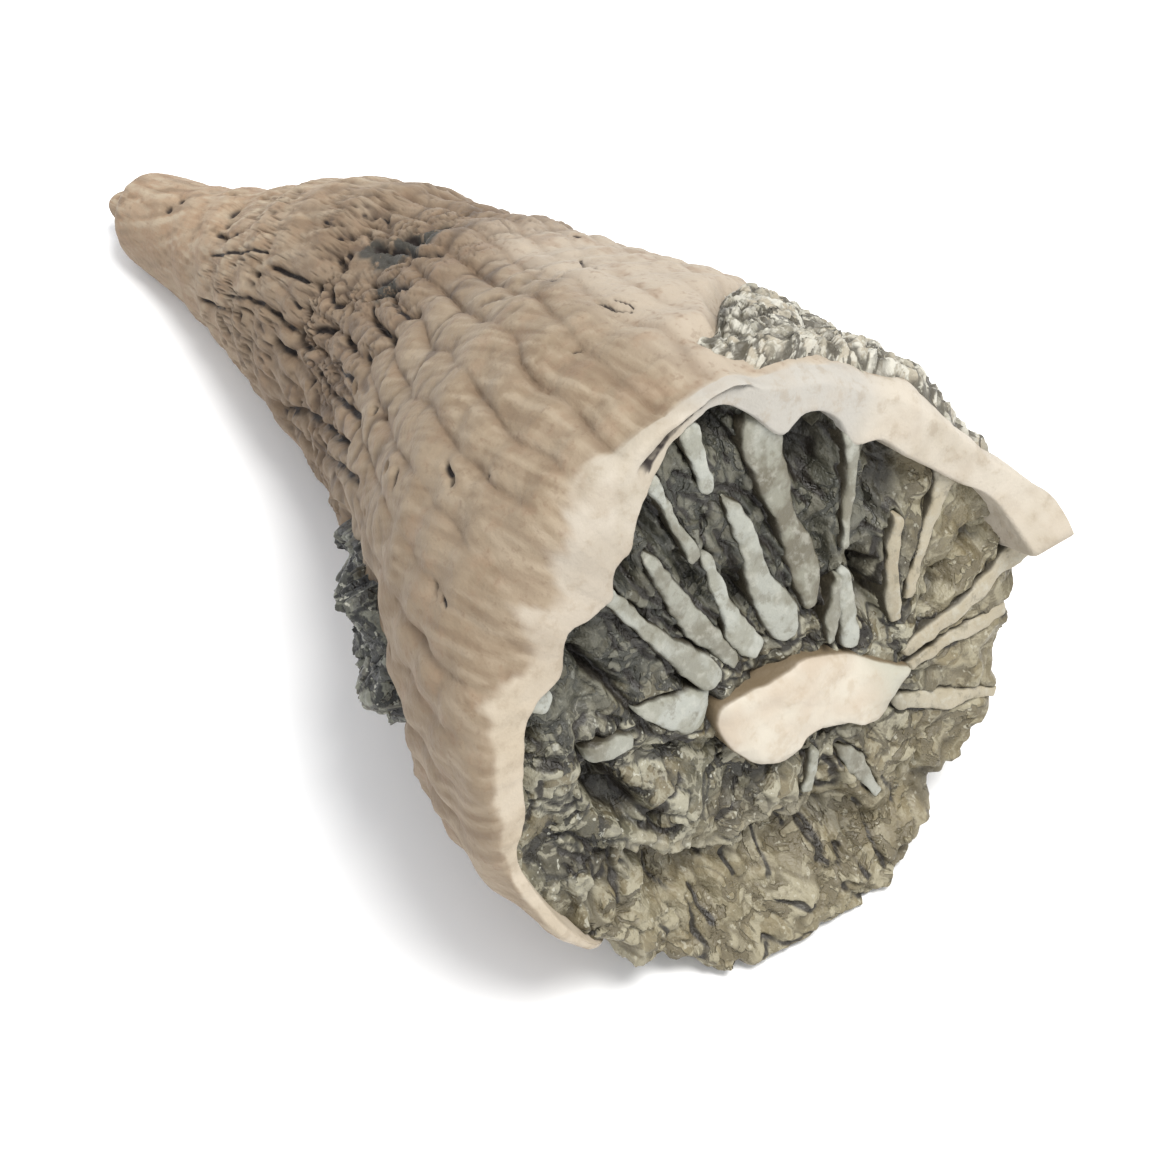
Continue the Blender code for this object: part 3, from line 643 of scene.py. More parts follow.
# Share of the wall's thickness at which the worn, pale rim starts
PALE_START = (
    (-10.0, 0.0), (60.0, 0.0), (98.0, -0.05), (110.0, 0.0), (122.0, 0.15), (131.0, 0.38), (146.0, 0.42),
    (156.0, 0.3), (166.0, 0.38), (190.0, 0.42), (215.0, 0.4), (240.0, 0.2), (300.0, 0.0),
)
BEVEL_STEPS, CREST_STEPS, ROLL_STEPS = 11, 9, 5
ROLL_START = 0.9           # share of the wall's thickness at which the rim rolls into the calyx
ROLL_DROP = 0.06           # share of the calyx's depth
# Dark seam between the outer lip and the inner wall, round the top of the rim
SEAM_ANGLES = (76.0, 82.0, 102.0, 107.0)
SEAM_SHARE = ((76.0, 0.05), (80.0, 0.2), (86.0, 0.4), (92.0, 0.48), (107.0, 0.5))
SEAM_WIDTH = ((76.0, 0.15), (84.0, 0.2), (90.0, 0.26))   # the dark line, as a share of the wall's thickness
SEAM_DEPTH = 0.45
LIP_PROUD = 0.3            # how far the outer lip stands above the inner wall
BITE_DEPTH = 0.8           # how ragged the broken rim is
RIM_CLEARANCE = 0.6        # below this height the rim flattens out towards the floor


def shoulder_profile(angle):
    """Share of the shoulder's length, of the wall's thickness and of the roll at each step over the rim."""
    steps = (BEVEL_STEPS, CREST_STEPS, ROLL_STEPS)
    bevel, crest, roll = (np.arange(1, count + 1)[:, None] / count for count in steps)
    bevel, roll = bevel * math.pi / 2.0, roll * math.pi / 2.0
    width = smooth_round(SHOULDER_SHARE, angle)
    stretches = (
        (np.sin(bevel), width * (1.0 - np.cos(bevel)) ** 0.8, 0.0),
        (1.0, width + (ROLL_START - width) * crest, 0.0),
        (1.0, ROLL_START + (1.0 - ROLL_START) * np.sin(roll), 1.0 - np.cos(roll)),
    )
    whole = [np.broadcast_arrays(*stretch, angle)[:3] for stretch in stretches]
    return [np.concatenate(parts) for parts in zip(*whole)]


def wall_outside(angle, shoulder_x, length):
    """The outside of the wall, from the apex to the shoulder."""
    apex_x, outside_x = spread(APEX_STRETCHES)[:-1], spread(WALL_STRETCHES)
    share = (outside_x - outside_x[0]) / (outside_x[-1] - outside_x[0])
    apex = np.broadcast_to(apex_x[:, None], (len(apex_x), angle.size))
    wall_x = outside_x[:, None] + (shoulder_x - outside_x[-1]) * ramp(share[:, None], 0.6, 1.0)
    x = np.concatenate([apex, wall_x])
    angles = np.broadcast_to(angle, x.shape)
    change, masks = fine_relief(x, angles)
    outside = outside_radius(x, angles)
    core = np.where(x < HORN_LEVELS[0][0], smooth_through(APEX_PROFILE, x) - horn_radius(x), 0.0)
    blunt = ramp(x, -36.6, -35.0)
    wide = ramp(length, 1.0, 2.4)
    fading = ramp(x, shoulder_x - 0.8 - 1.8 * wide, shoulder_x + 0.2) * (1.0 - break_share(angle))
    uneven_x = x + 0.4 * perlin(on_level(x, angles, outside) / 1.2)
    unworn = ramp(smooth_round(PALE_START, angle), 0.0, 0.1)
    masks["worn"] = ramp(uneven_x, shoulder_x - 0.3, shoulder_x + 0.2) * (1.0 - unworn)
    masks["groove"] = masks["groove"] * (1.0 - 0.8 * fading)
    radius = core + horn_radius(x) + (outside - horn_radius(x) + change * (1.0 - 0.6 * fading)) * blunt
    return on_level(x, angles, radius), masks


def wall_rim(angle, rim, shoulder_x, length, edge):
    """The rounded shoulder, the crest of the rim with its seam, and the roll into the calyx."""
    along, inward, drop = shoulder_profile(angle)
    x = shoulder_x + length * along
    angles = np.broadcast_to(angle, x.shape)
    change, masks = fine_relief(x, angles)
    outer = outside_radius(x, angles) + 0.4 * change * (1.0 - ramp(inward, 0.0, 0.5))
    place = on_level(x, angles, outer)
    over = 4.0 * along * (1.0 - drop)
    swell = 0.16 * perlin(place / 2.2) + 0.07 * rough(place / 0.8, 3)
    bite = BITE_DEPTH * break_share(angle) * rough(place / 1.4, 3)

    # The seam, with the outer lip proud of the wall inside it
    seam_here = ramp(angle, *SEAM_ANGLES[:2]) * (1.0 - ramp(angle, *SEAM_ANGLES[2:]))
    seam_share = smooth_through(SEAM_SHARE, angle)
    seam = np.exp(-((inward - seam_share) / 0.09) ** 2) * seam_here * (along >= 1.0)
    lower = LIP_PROUD * seam_here * ramp(inward, seam_share - 0.05, seam_share + 0.05)
    line_end = seam_share + smooth_through(SEAM_WIDTH, angle)
    line = ramp(inward, seam_share - 0.04, seam_share) * seam_here
    line = line * (1.0 - ramp(inward + 0.16 * perlin(place / 0.5), line_end - 0.1, line_end))

    height = swell * np.minimum(over, 1.0) - SEAM_DEPTH * seam - lower + bite * (along >= 0.5)
    height = height - ROLL_DROP * (CALYX_DEPTH + rim) * drop
    radius = outer - (outer - edge) * inward + 0.5 * swell * (inward < ROLL_START)
    pale_start = smooth_round(PALE_START, angle)
    ragged = inward + 0.25 * perlin(place / 1.6) + 0.12 * perlin(place / 0.5)
    masks["worn"] = np.where(pale_start < 0.02, 1.0, ramp(ragged, pale_start - 0.06, pale_start + 0.1))
    masks["groove"] = 0.0 * x
    masks["crease"] = masks["crease"] * 0.2
    masks["stain"] = 0.0 * x
    masks["dark"] = np.maximum(masks["dark"] * (inward < 0.1), 0.85 * line * (drop < 0.5))
    return off_the_floor(on_level(x + height, angles, radius), RIM_CLEARANCE), masks


def wall_inside(angle, rim, edge):
    """The calyx's inner wall and floor."""
    shares = spread(((ROLL_DROP, 0.3, 6), (0.3, 1.0, 6)))[1:]
    inner = np.interp(shares, *zip(*CALYX_WALL))[:, None]
    height = rim + (-CALYX_DEPTH - rim) * shares[:, None]
    angles = np.broadcast_to(angle, height.shape)
    return off_the_floor(on_level(CALYX_X + height, angles, edge * inner), RIM_CLEARANCE)


def make_wall():
    """The horn's wall, from the apex over the rim and down into the calyx."""
    angle = spread(COLUMN_STRETCHES)[:-1][None, :]
    rim = rim_height(angle) + spike_rise(angle)
    length = smooth_round(SHOULDER_LENGTH, angle)
    shoulder_x = CALYX_X + rim - length
    edge = smooth_round(CALYX_EDGE, angle)
    outside, outside_masks = wall_outside(angle, shoulder_x, length)
    over_rim, rim_masks = wall_rim(angle, rim, shoulder_x, length, edge)
    inside = wall_inside(angle, rim, edge)
    blank = np.zeros(inside.shape[:2])
    masks = {
        key: np.concatenate([outside_masks[key], rim_masks[key], blank + (key == "worn")])
        for key in rim_masks
    }
    whole = np.concatenate([outside, over_rim, inside])
    angles = np.broadcast_to(angle, whole.shape[:2])
    masks["along"] = np.clip((whole[..., 0] - HORN_START) / (CALYX_X - HORN_START), 0.0, 1.0)
    # Painted shade: the lower flank, which faces away from the light, is darkened in the colour
    masks["flank_shade"] = ramp(angles, 112.0, 165.0) * (1.0 - ramp(angles, 250.0, 300.0))
    # Painted shade: the rim is darkened where it turns away from the light, round 134 degrees
    masks["turned_rim_shade"] = 1.0 - ramp(angle_apart(angles, 134.0), 8.0, 26.0)
    masks["lilac"] = (1.0 - ramp(angle_apart(angles, 70.0), 16.0, 26.0)) * masks["worn"]
    return closed_mesh("horn_wall", to_metres(whole), masks)


# ---------------------------------------------------------------- septa

# Each septum's paleness, then its places from the outer to the inner end: u, v and half-width
SEPTA = {
    "septum_top": (0.7, (-0.6, 12.3, 0.6), (-0.45, 11.2, 0.4), (-0.35, 10.2, 0.33), (-0.25, 9.2, 0.3),
        (-0.2, 8.8, 0.15)),
    "septum_club": (0.75, (0.6, 7.9, 0.3), (0.95, 6.5, 0.38), (1.1, 5.0, 0.42), (1.25, 3.6, 0.6),
        (1.75, 2.1, 0.72), (1.95, 1.1, 0.6), (2.05, 0.3, 0.3)),
    "septum_left_1": (0.45, (-2.7, 11.0, 0.35), (-2.35, 9.7, 0.25), (-2.0, 8.4, 0.22), (-1.6, 7.1, 0.3),
        (-1.4, 6.2, 0.25)),
    "septum_left_2": (0.9, (-0.95, 6.3, 0.25), (-0.75, 5.0, 0.28), (-0.5, 3.6, 0.35), (-0.25, 2.3, 0.5),
        (0.2, 1.3, 0.55), (0.7, 0.5, 0.35)),
    "septum_left_3": (0.35, (-3.5, 7.7, 0.2), (-3.0, 6.2, 0.35), (-2.5, 4.7, 0.5), (-1.9, 3.3, 0.55),
        (-1.2, 2.0, 0.45), (-0.5, 0.6, 0.25)),
    "septum_left_4": (0.7, (-5.7, 7.4, 0.35), (-5.0, 6.0, 0.3), (-4.4, 4.9, 0.35), (-3.7, 3.7, 0.38),
        (-2.9, 2.5, 0.5), (-2.2, 1.4, 0.6), (-1.6, 0.4, 0.4)),
    "septum_left_5": (0.9, (-10.6, 5.2, 0.5), (-9.6, 4.4, 0.55), (-8.9, 3.6, 0.3)),
    "septum_lens": (1.0, (-5.4, 1.3, 0.12), (-4.7, 0.85, 0.5), (-3.9, 0.3, 0.8), (-3.0, -0.2, 1.0),
        (-2.4, -0.65, 0.85), (-2.15, -0.8, 0.5)),
    "septum_left_6": (0.4, (-8.0, 0.7, 0.4), (-6.8, 0.4, 0.4), (-5.7, 0.1, 0.3)),
    "septum_right_1": (0.0, (2.6, 10.9, 1.1), (2.6, 9.4, 0.85), (2.75, 7.4, 0.65), (3.0, 5.6, 0.5),
        (3.3, 3.8, 0.6), (3.3, 2.3, 0.5), (3.15, 1.3, 0.25)),
    "septum_right_2": (0.3, (6.6, 8.4, 0.5), (6.5, 7.0, 0.32), (6.2, 5.9, 0.22), (5.7, 4.6, 0.2),
        (5.2, 3.0, 0.16)),
    "septum_small": (0.95, (5.1, 2.1, 0.2), (5.1, 1.0, 0.35), (4.95, -0.2, 0.45), (4.85, -1.2, 0.5),
        (4.9, -1.8, 0.3)),
    "septum_thin": (0.5, (4.8, 2.0, 0.15), (4.4, 1.0, 0.3), (3.95, -0.2, 0.3), (3.8, -0.8, 0.2)),
    "septum_right_3": (0.3, (8.1, 3.0, 0.25), (7.4, 0.8, 0.3), (7.15, -0.5, 0.35), (7.0, -1.7, 0.25)),
    "septum_right_4": (0.7, (11.3, 4.4, 0.8), (10.4, 3.0, 0.45), (9.5, 1.7, 0.28), (8.7, 0.4, 0.25),
        (7.8, -1.1, 0.25)),
    "septum_right_5": (0.6, (14.3, -1.7, 0.8), (12.6, -2.05, 0.4), (11.0, -2.6, 0.35), (9.6, -2.95, 0.35),
        (8.2, -3.2, 0.3), (7.1, -3.4, 0.2)),
    "septum_right_6": (0.35, (12.6, -4.2, 0.3), (10.5, -4.1, 0.3), (8.6, -4.0, 0.25), (7.2, -4.1, 0.2)),
    "septum_right_7": (0.5, (11.4, -7.9, 0.25), (10.2, -7.25, 0.25), (8.9, -6.75, 0.4), (7.5, -6.0, 0.4),
        (6.3, -5.35, 0.25)),
    "septum_low_1": (0.9, (1.3, -7.0, 0.2), (1.9, -5.9, 0.25), (2.2, -5.2, 0.15)),
    "septum_low_2": (0.3, (4.8, -9.2, 0.15), (4.4, -8.2, 0.3), (3.9, -7.0, 0.45), (3.4, -6.0, 0.2)),
}
SEPTUM_TOP = -0.3          # height of the blades' top edges against the mouth plane
SEPTUM_UNEVEN = 0.0875     # how far that height differs from blade to blade
SEPTUM_HALF_HEIGHT = 1.5
SEPTUM_RINGS = 60
SEPTUM_AROUND = 30


def septum_distance(u, v):
    """Distance to the outline of the nearest septum, below 0 inside it."""
    nearest = np.full_like(u, 9.0)
    for _, *stations in SEPTA.values():
        for (u0, v0, w0), (u1, v1, w1) in zip(stations, stations[1:]):
            du, dv = u1 - u0, v1 - v0
            t = np.clip(((u - u0) * du + (v - v0) * dv) / (du * du + dv * dv), 0.0, 1.0)
            away = np.hypot(u - u0 - du * t, v - v0 - dv * t) - (w0 + (w1 - w0) * t)
            nearest = np.minimum(nearest, away)
    return nearest


def make_septum(name, tone, stations):
    """A blade with a flat, worn top edge, wider where it is club-shaped."""
    pieces = np.array(stations)
    lengths = np.concatenate([[0.0], np.cumsum(np.hypot(*np.diff(pieces[:, :2], axis=0).T))])
    ring = np.linspace(0.0, 1.0, SEPTUM_RINGS)
    along = lengths[-1] * (0.5 - 0.5 * np.cos(math.pi * ring))
    u, v, width = (smooth_through(list(zip(lengths, column)), along) for column in pieces.T)
    path = stack(u, v, 0.0 * u)
    width = width * (1.08 + 0.22 * perlin(path / 1.4 + 2.0) + 0.1 * perlin(path / 0.4 + 2.0))
    end = np.minimum(along, lengths[-1] - along)
    closing = np.sqrt(1.0 - (1.0 - np.clip(end / np.maximum(width, 0.12), 0.0, 1.0)) ** 2)
    du, dv = np.gradient(u), np.gradient(v)
    size = np.maximum(np.hypot(du, dv), 1e-9)
    across_u, across_v = -dv[:, None] / size[:, None], du[:, None] / size[:, None]

    # Each ring is a rounded rectangle that closes to a point at the blade's ends
    turn = np.linspace(0.0, math.tau, SEPTUM_AROUND, endpoint=False)[None, :]
    square_cos = np.sign(np.cos(turn)) * np.abs(np.cos(turn)) ** 0.35
    square_sin = np.sign(np.sin(turn)) * np.abs(np.sin(turn)) ** 0.2
    w = (width * closing)[:, None] * square_cos
    place_u, place_v = u[:, None] + across_u * w, v[:, None] + across_v * w
    uneven = SEPTUM_UNEVEN * math.sin(7.0 * stations[0][0] + 3.0 * stations[0][1])
    half_height = SEPTUM_HALF_HEIGHT * closing[:, None] ** 0.3
    height = SEPTUM_TOP + uneven - SEPTUM_HALF_HEIGHT + half_height * square_sin
    where = stack(place_u, place_v, height)
    worn = 0.1 * rough(where / 0.9, 3) + 0.16 * perlin(where / np.array((2.2, 2.2, 50.0)) + 7.0)
    shift = 0.12 * perlin(where / 0.55 + 3.0)
    place_u, place_v = place_u + shift * across_u, place_v + shift * across_v
    height = height + worn * (square_sin > -0.5)
    points = on_plane(CALYX_X + height, place_u, place_v)
    masks = {
        # side: where the blade's sides are, for the painted shade on them
        "side": np.broadcast_to(np.abs(square_cos), w.shape),
        "tone": np.clip(tone + 0.7 * ramp(np.hypot(place_u, place_v), 8.5, 11.0), 0.0, 1.0),
        "warm": ramp(place_u, 5.0, 8.0) * (1.0 - ramp(place_v, 3.0, 6.0)),
    }
    return closed_mesh(name, to_metres(points), masks)


# ---------------------------------------------------------------- axial boss

BOSS_MIDDLE = (2.6, -2.8)
BOSS_OUTLINE = (
    (-1.9, -0.7), (-1.4, -0.55), (-0.5, -0.6), (0.4, -0.8), (1.5, -0.8), (2.2, -0.7), (3.2, -1.0),
    (4.4, -1.7), (5.5, -2.6), (6.6, -3.5), (7.4, -4.2), (6.9, -4.7), (6.2, -5.1), (5.7, -5.5), (4.8, -5.35),
    (3.8, -4.7), (2.5, -4.3), (1.5, -4.3), (1.0, -4.7), (0.3, -4.7), (-0.5, -4.2), (-1.3, -3.4),
    (-1.8, -2.6), (-2.1, -1.5),
)
BOSS_TOP = 0.1             # height of the boss against the mouth plane
BOSS_EDGE_START = 0.72     # share of the boss's reach at which its top starts to round over
BOSS_EDGE_DROP = 0.42
# The boss's side, below the rounded edge: share of its reach, and depth below the edge
BOSS_SIDE = ((1.0, 0.25), (1.0, 0.6), (1.0, 1.1), (0.98, 1.8), (0.9, 2.4), (0.5, 2.5), (0.0, 2.6))
BOSS_AROUND = 200


def make_boss():
    """A smooth knob with a rounded edge that stands upright in the calyx."""
    mid_u, mid_v = BOSS_MIDDLE
    offsets = [(u - mid_u, v - mid_v) for u, v in BOSS_OUTLINE]
    polar = sorted((math.degrees(math.atan2(v, u)), math.hypot(u, v)) for u, v in offsets)
    angle = np.linspace(0.0, 360.0, BOSS_AROUND, endpoint=False)[None, :]
    steps = spread(((0.0, 0.82, 22), (0.82, 1.0, 14)))[:, None]
    side_share, side_depth = np.array(BOSS_SIDE).T[..., None]
    share = np.concatenate([steps, side_share])
    edge = np.clip((share - BOSS_EDGE_START) / (1.0 - BOSS_EDGE_START), 0.0, 1.0)
    fall = BOSS_EDGE_DROP * (1.0 - np.sqrt(np.clip(1.0 - edge ** 2.2, 0.0, 1.0)))
    drop = np.concatenate([fall[: len(steps)], BOSS_EDGE_DROP + side_depth])
    radius = smooth_round(polar, angle) * share
    turn = np.radians(angle)
    u, v = mid_u + radius * np.cos(turn), mid_v + radius * np.sin(turn)
    where = stack(u, v, drop)
    swell = 0.3 * perlin(where / np.array((3.2, 2.2, 9.0)) + 2.0) + 0.07 * rough(where / 0.9, 3)
    height = BOSS_TOP - drop + swell * (drop < 1.0) - 0.16 * ramp(u, 3.5, 7.5)
    side = 0.05 * perlin(where / 0.8 + 13.0) * (share > 0.5)
    points = on_plane(CALYX_X + height, u + side * np.cos(turn), v + side * np.sin(turn))
    # side: the rounded edge and the side, for the painted shade on them
    masks = {"side": np.broadcast_to(edge, u.shape), "grey": ramp(u + 0.8 * perlin(where / 1.5), 4.2, 6.4)}
    return closed_mesh("axial_boss", to_metres(points), masks)


# ---------------------------------------------------------------- sediment in the calyx

INFILL_TOP = -0.85
INFILL_ROUGHNESS = 0.55
INFILL_LUMP = 2.4
BIG_GRAIN, SMALL_GRAIN = 1.9, 0.8              # size of the sediment's grains
BIG_GRAIN_STEP, SMALL_GRAIN_STEP = 0.34, 0.14  # how far their heights differ
BIG_GRAIN_GAP, SMALL_GRAIN_GAP = 0.14, 0.09    # depth of the gaps between them
FINE_GRAIN = 0.45
LOW_RELIEF = 0.45                              # more relief in the lower half
# How far the sediment stands up near its edge, by angle
INFILL_EDGE_LIFT = (
    (20.0, -0.3), (110.0, -0.3), (195.0, -0.3), (215.0, 0.2), (232.0, 0.5), (246.0, 0.5), (256.0, 1.2),
    (266.0, 1.9), (273.0, 1.8), (281.0, 1.5), (287.0, 1.4), (294.0, 0.9), (303.0, 0.5), (316.0, 0.6),
    (340.0, 0.5), (354.0, 0.3),
)
INFILL_LIFT_REACH = (8.5, 13.0)
# Radius that the sediment reaches over the broken rim, by angle
INFILL_SPREAD = (
    (214.0, 12.8), (232.0, 12.9), (250.0, 12.9), (262.0, 12.8), (272.0, 13.0), (284.0, 13.7), (298.0, 13.3),
    (316.0, 13.3), (326.0, 13.6), (336.0, 13.1), (346.0, 13.6), (356.0, 13.8),
)
OVERHANG_GAP = 0.75        # how far above the broken rim the sediment's underside stays
FLOOR_CLEARANCE = 0.9      # below this height the sediment flattens out towards the floor
# Hollows: u, v, half-length, half-width, turn in degrees, depth
HOLLOWS = (
    (1.2, 10.9, 1.0, 0.85, -35.0, 1.5),
    (4.9, 8.0, 2.1, 1.2, 95.0, 1.7),
    (8.6, 5.0, 1.9, 1.2, 50.0, 1.2),
    (6.25, 0.0, 1.55, 0.62, 100.0, 2.0),
    (3.7, 0.8, 0.5, 0.4, 60.0, 0.8),
    (-6.9, -2.5, 2.1, 0.7, -62.0, 1.7),
    (-2.9, 9.0, 1.3, 0.5, 110.0, 0.9),
    (-4.6, 7.9, 1.0, 0.6, 120.0, 0.9),
    (-6.9, 5.9, 1.2, 0.7, 20.0, 0.6),
    (-6.3, 3.4, 2.3, 0.35, 118.0, 0.8),
    (-8.9, 4.2, 0.9, 0.5, 80.0, 0.5),
    (-10.2, 2.6, 0.5, 0.45, 0.0, 1.4),
    (11.6, -0.4, 1.6, 0.35, 20.0, 0.9),
    (9.3, -1.9, 1.3, 0.35, 35.0, 0.9),
    (2.7, -9.3, 2.2, 1.0, -70.0, 0.8),
    (0.3, 3.5, 1.6, 0.4, 105.0, 0.9),
    (-1.5, 5.4, 1.6, 0.4, 110.0, 0.8),
    (4.2, 4.2, 1.5, 0.6, 95.0, 0.6),
    (7.3, 3.7, 1.2, 0.5, 80.0, 0.8),
    (7.6, -10.6, 1.6, 0.9, -20.0, 0.7),
    (-3.2, -2.2, 2.2, 0.25, -25.0, 0.5),
)
# Ridges and stones that stand out: u, v, half-length, half-width, turn, height
LUMPS = (
    (-9.2, 0.6, 1.25, 1.15, 20.0, 0.75),
    (-4.6, -4.3, 2.6, 1.7, -25.0, 0.55),
    (-0.4, -6.2, 2.6, 0.9, 5.0, 0.5),
    (4.6, -7.6, 1.6, 1.3, -20.0, 0.35),
    (-4.6, -8.6, 2.4, 1.4, -20.0, -0.5),
    (9.0, -7.9, 2.2, 1.5, -30.0, 0.3),
    (-8.0, -6.6, 2.0, 1.6, -40.0, 0.2),
    (6.4, -11.2, 1.6, 0.7, 0.0, 0.3),
    (-9.3, -4.4, 1.2, 1.0, -50.0, 0.3),
)
MATRIX_MIDDLE = (2.5, -2.9)
MATRIX_AROUND = 600
MATRIX_BOTTOM = -CALYX_DEPTH + 0.7
MATRIX_FLOOR = ((0.08, 0.93), (0.5, 0.88), (0.9, 0.7), (1.0, 0.0))   # share of the way down and of the edge
WALL_OVERLAP = 0.12        # how far the sediment runs into the wall, so that no gap shows
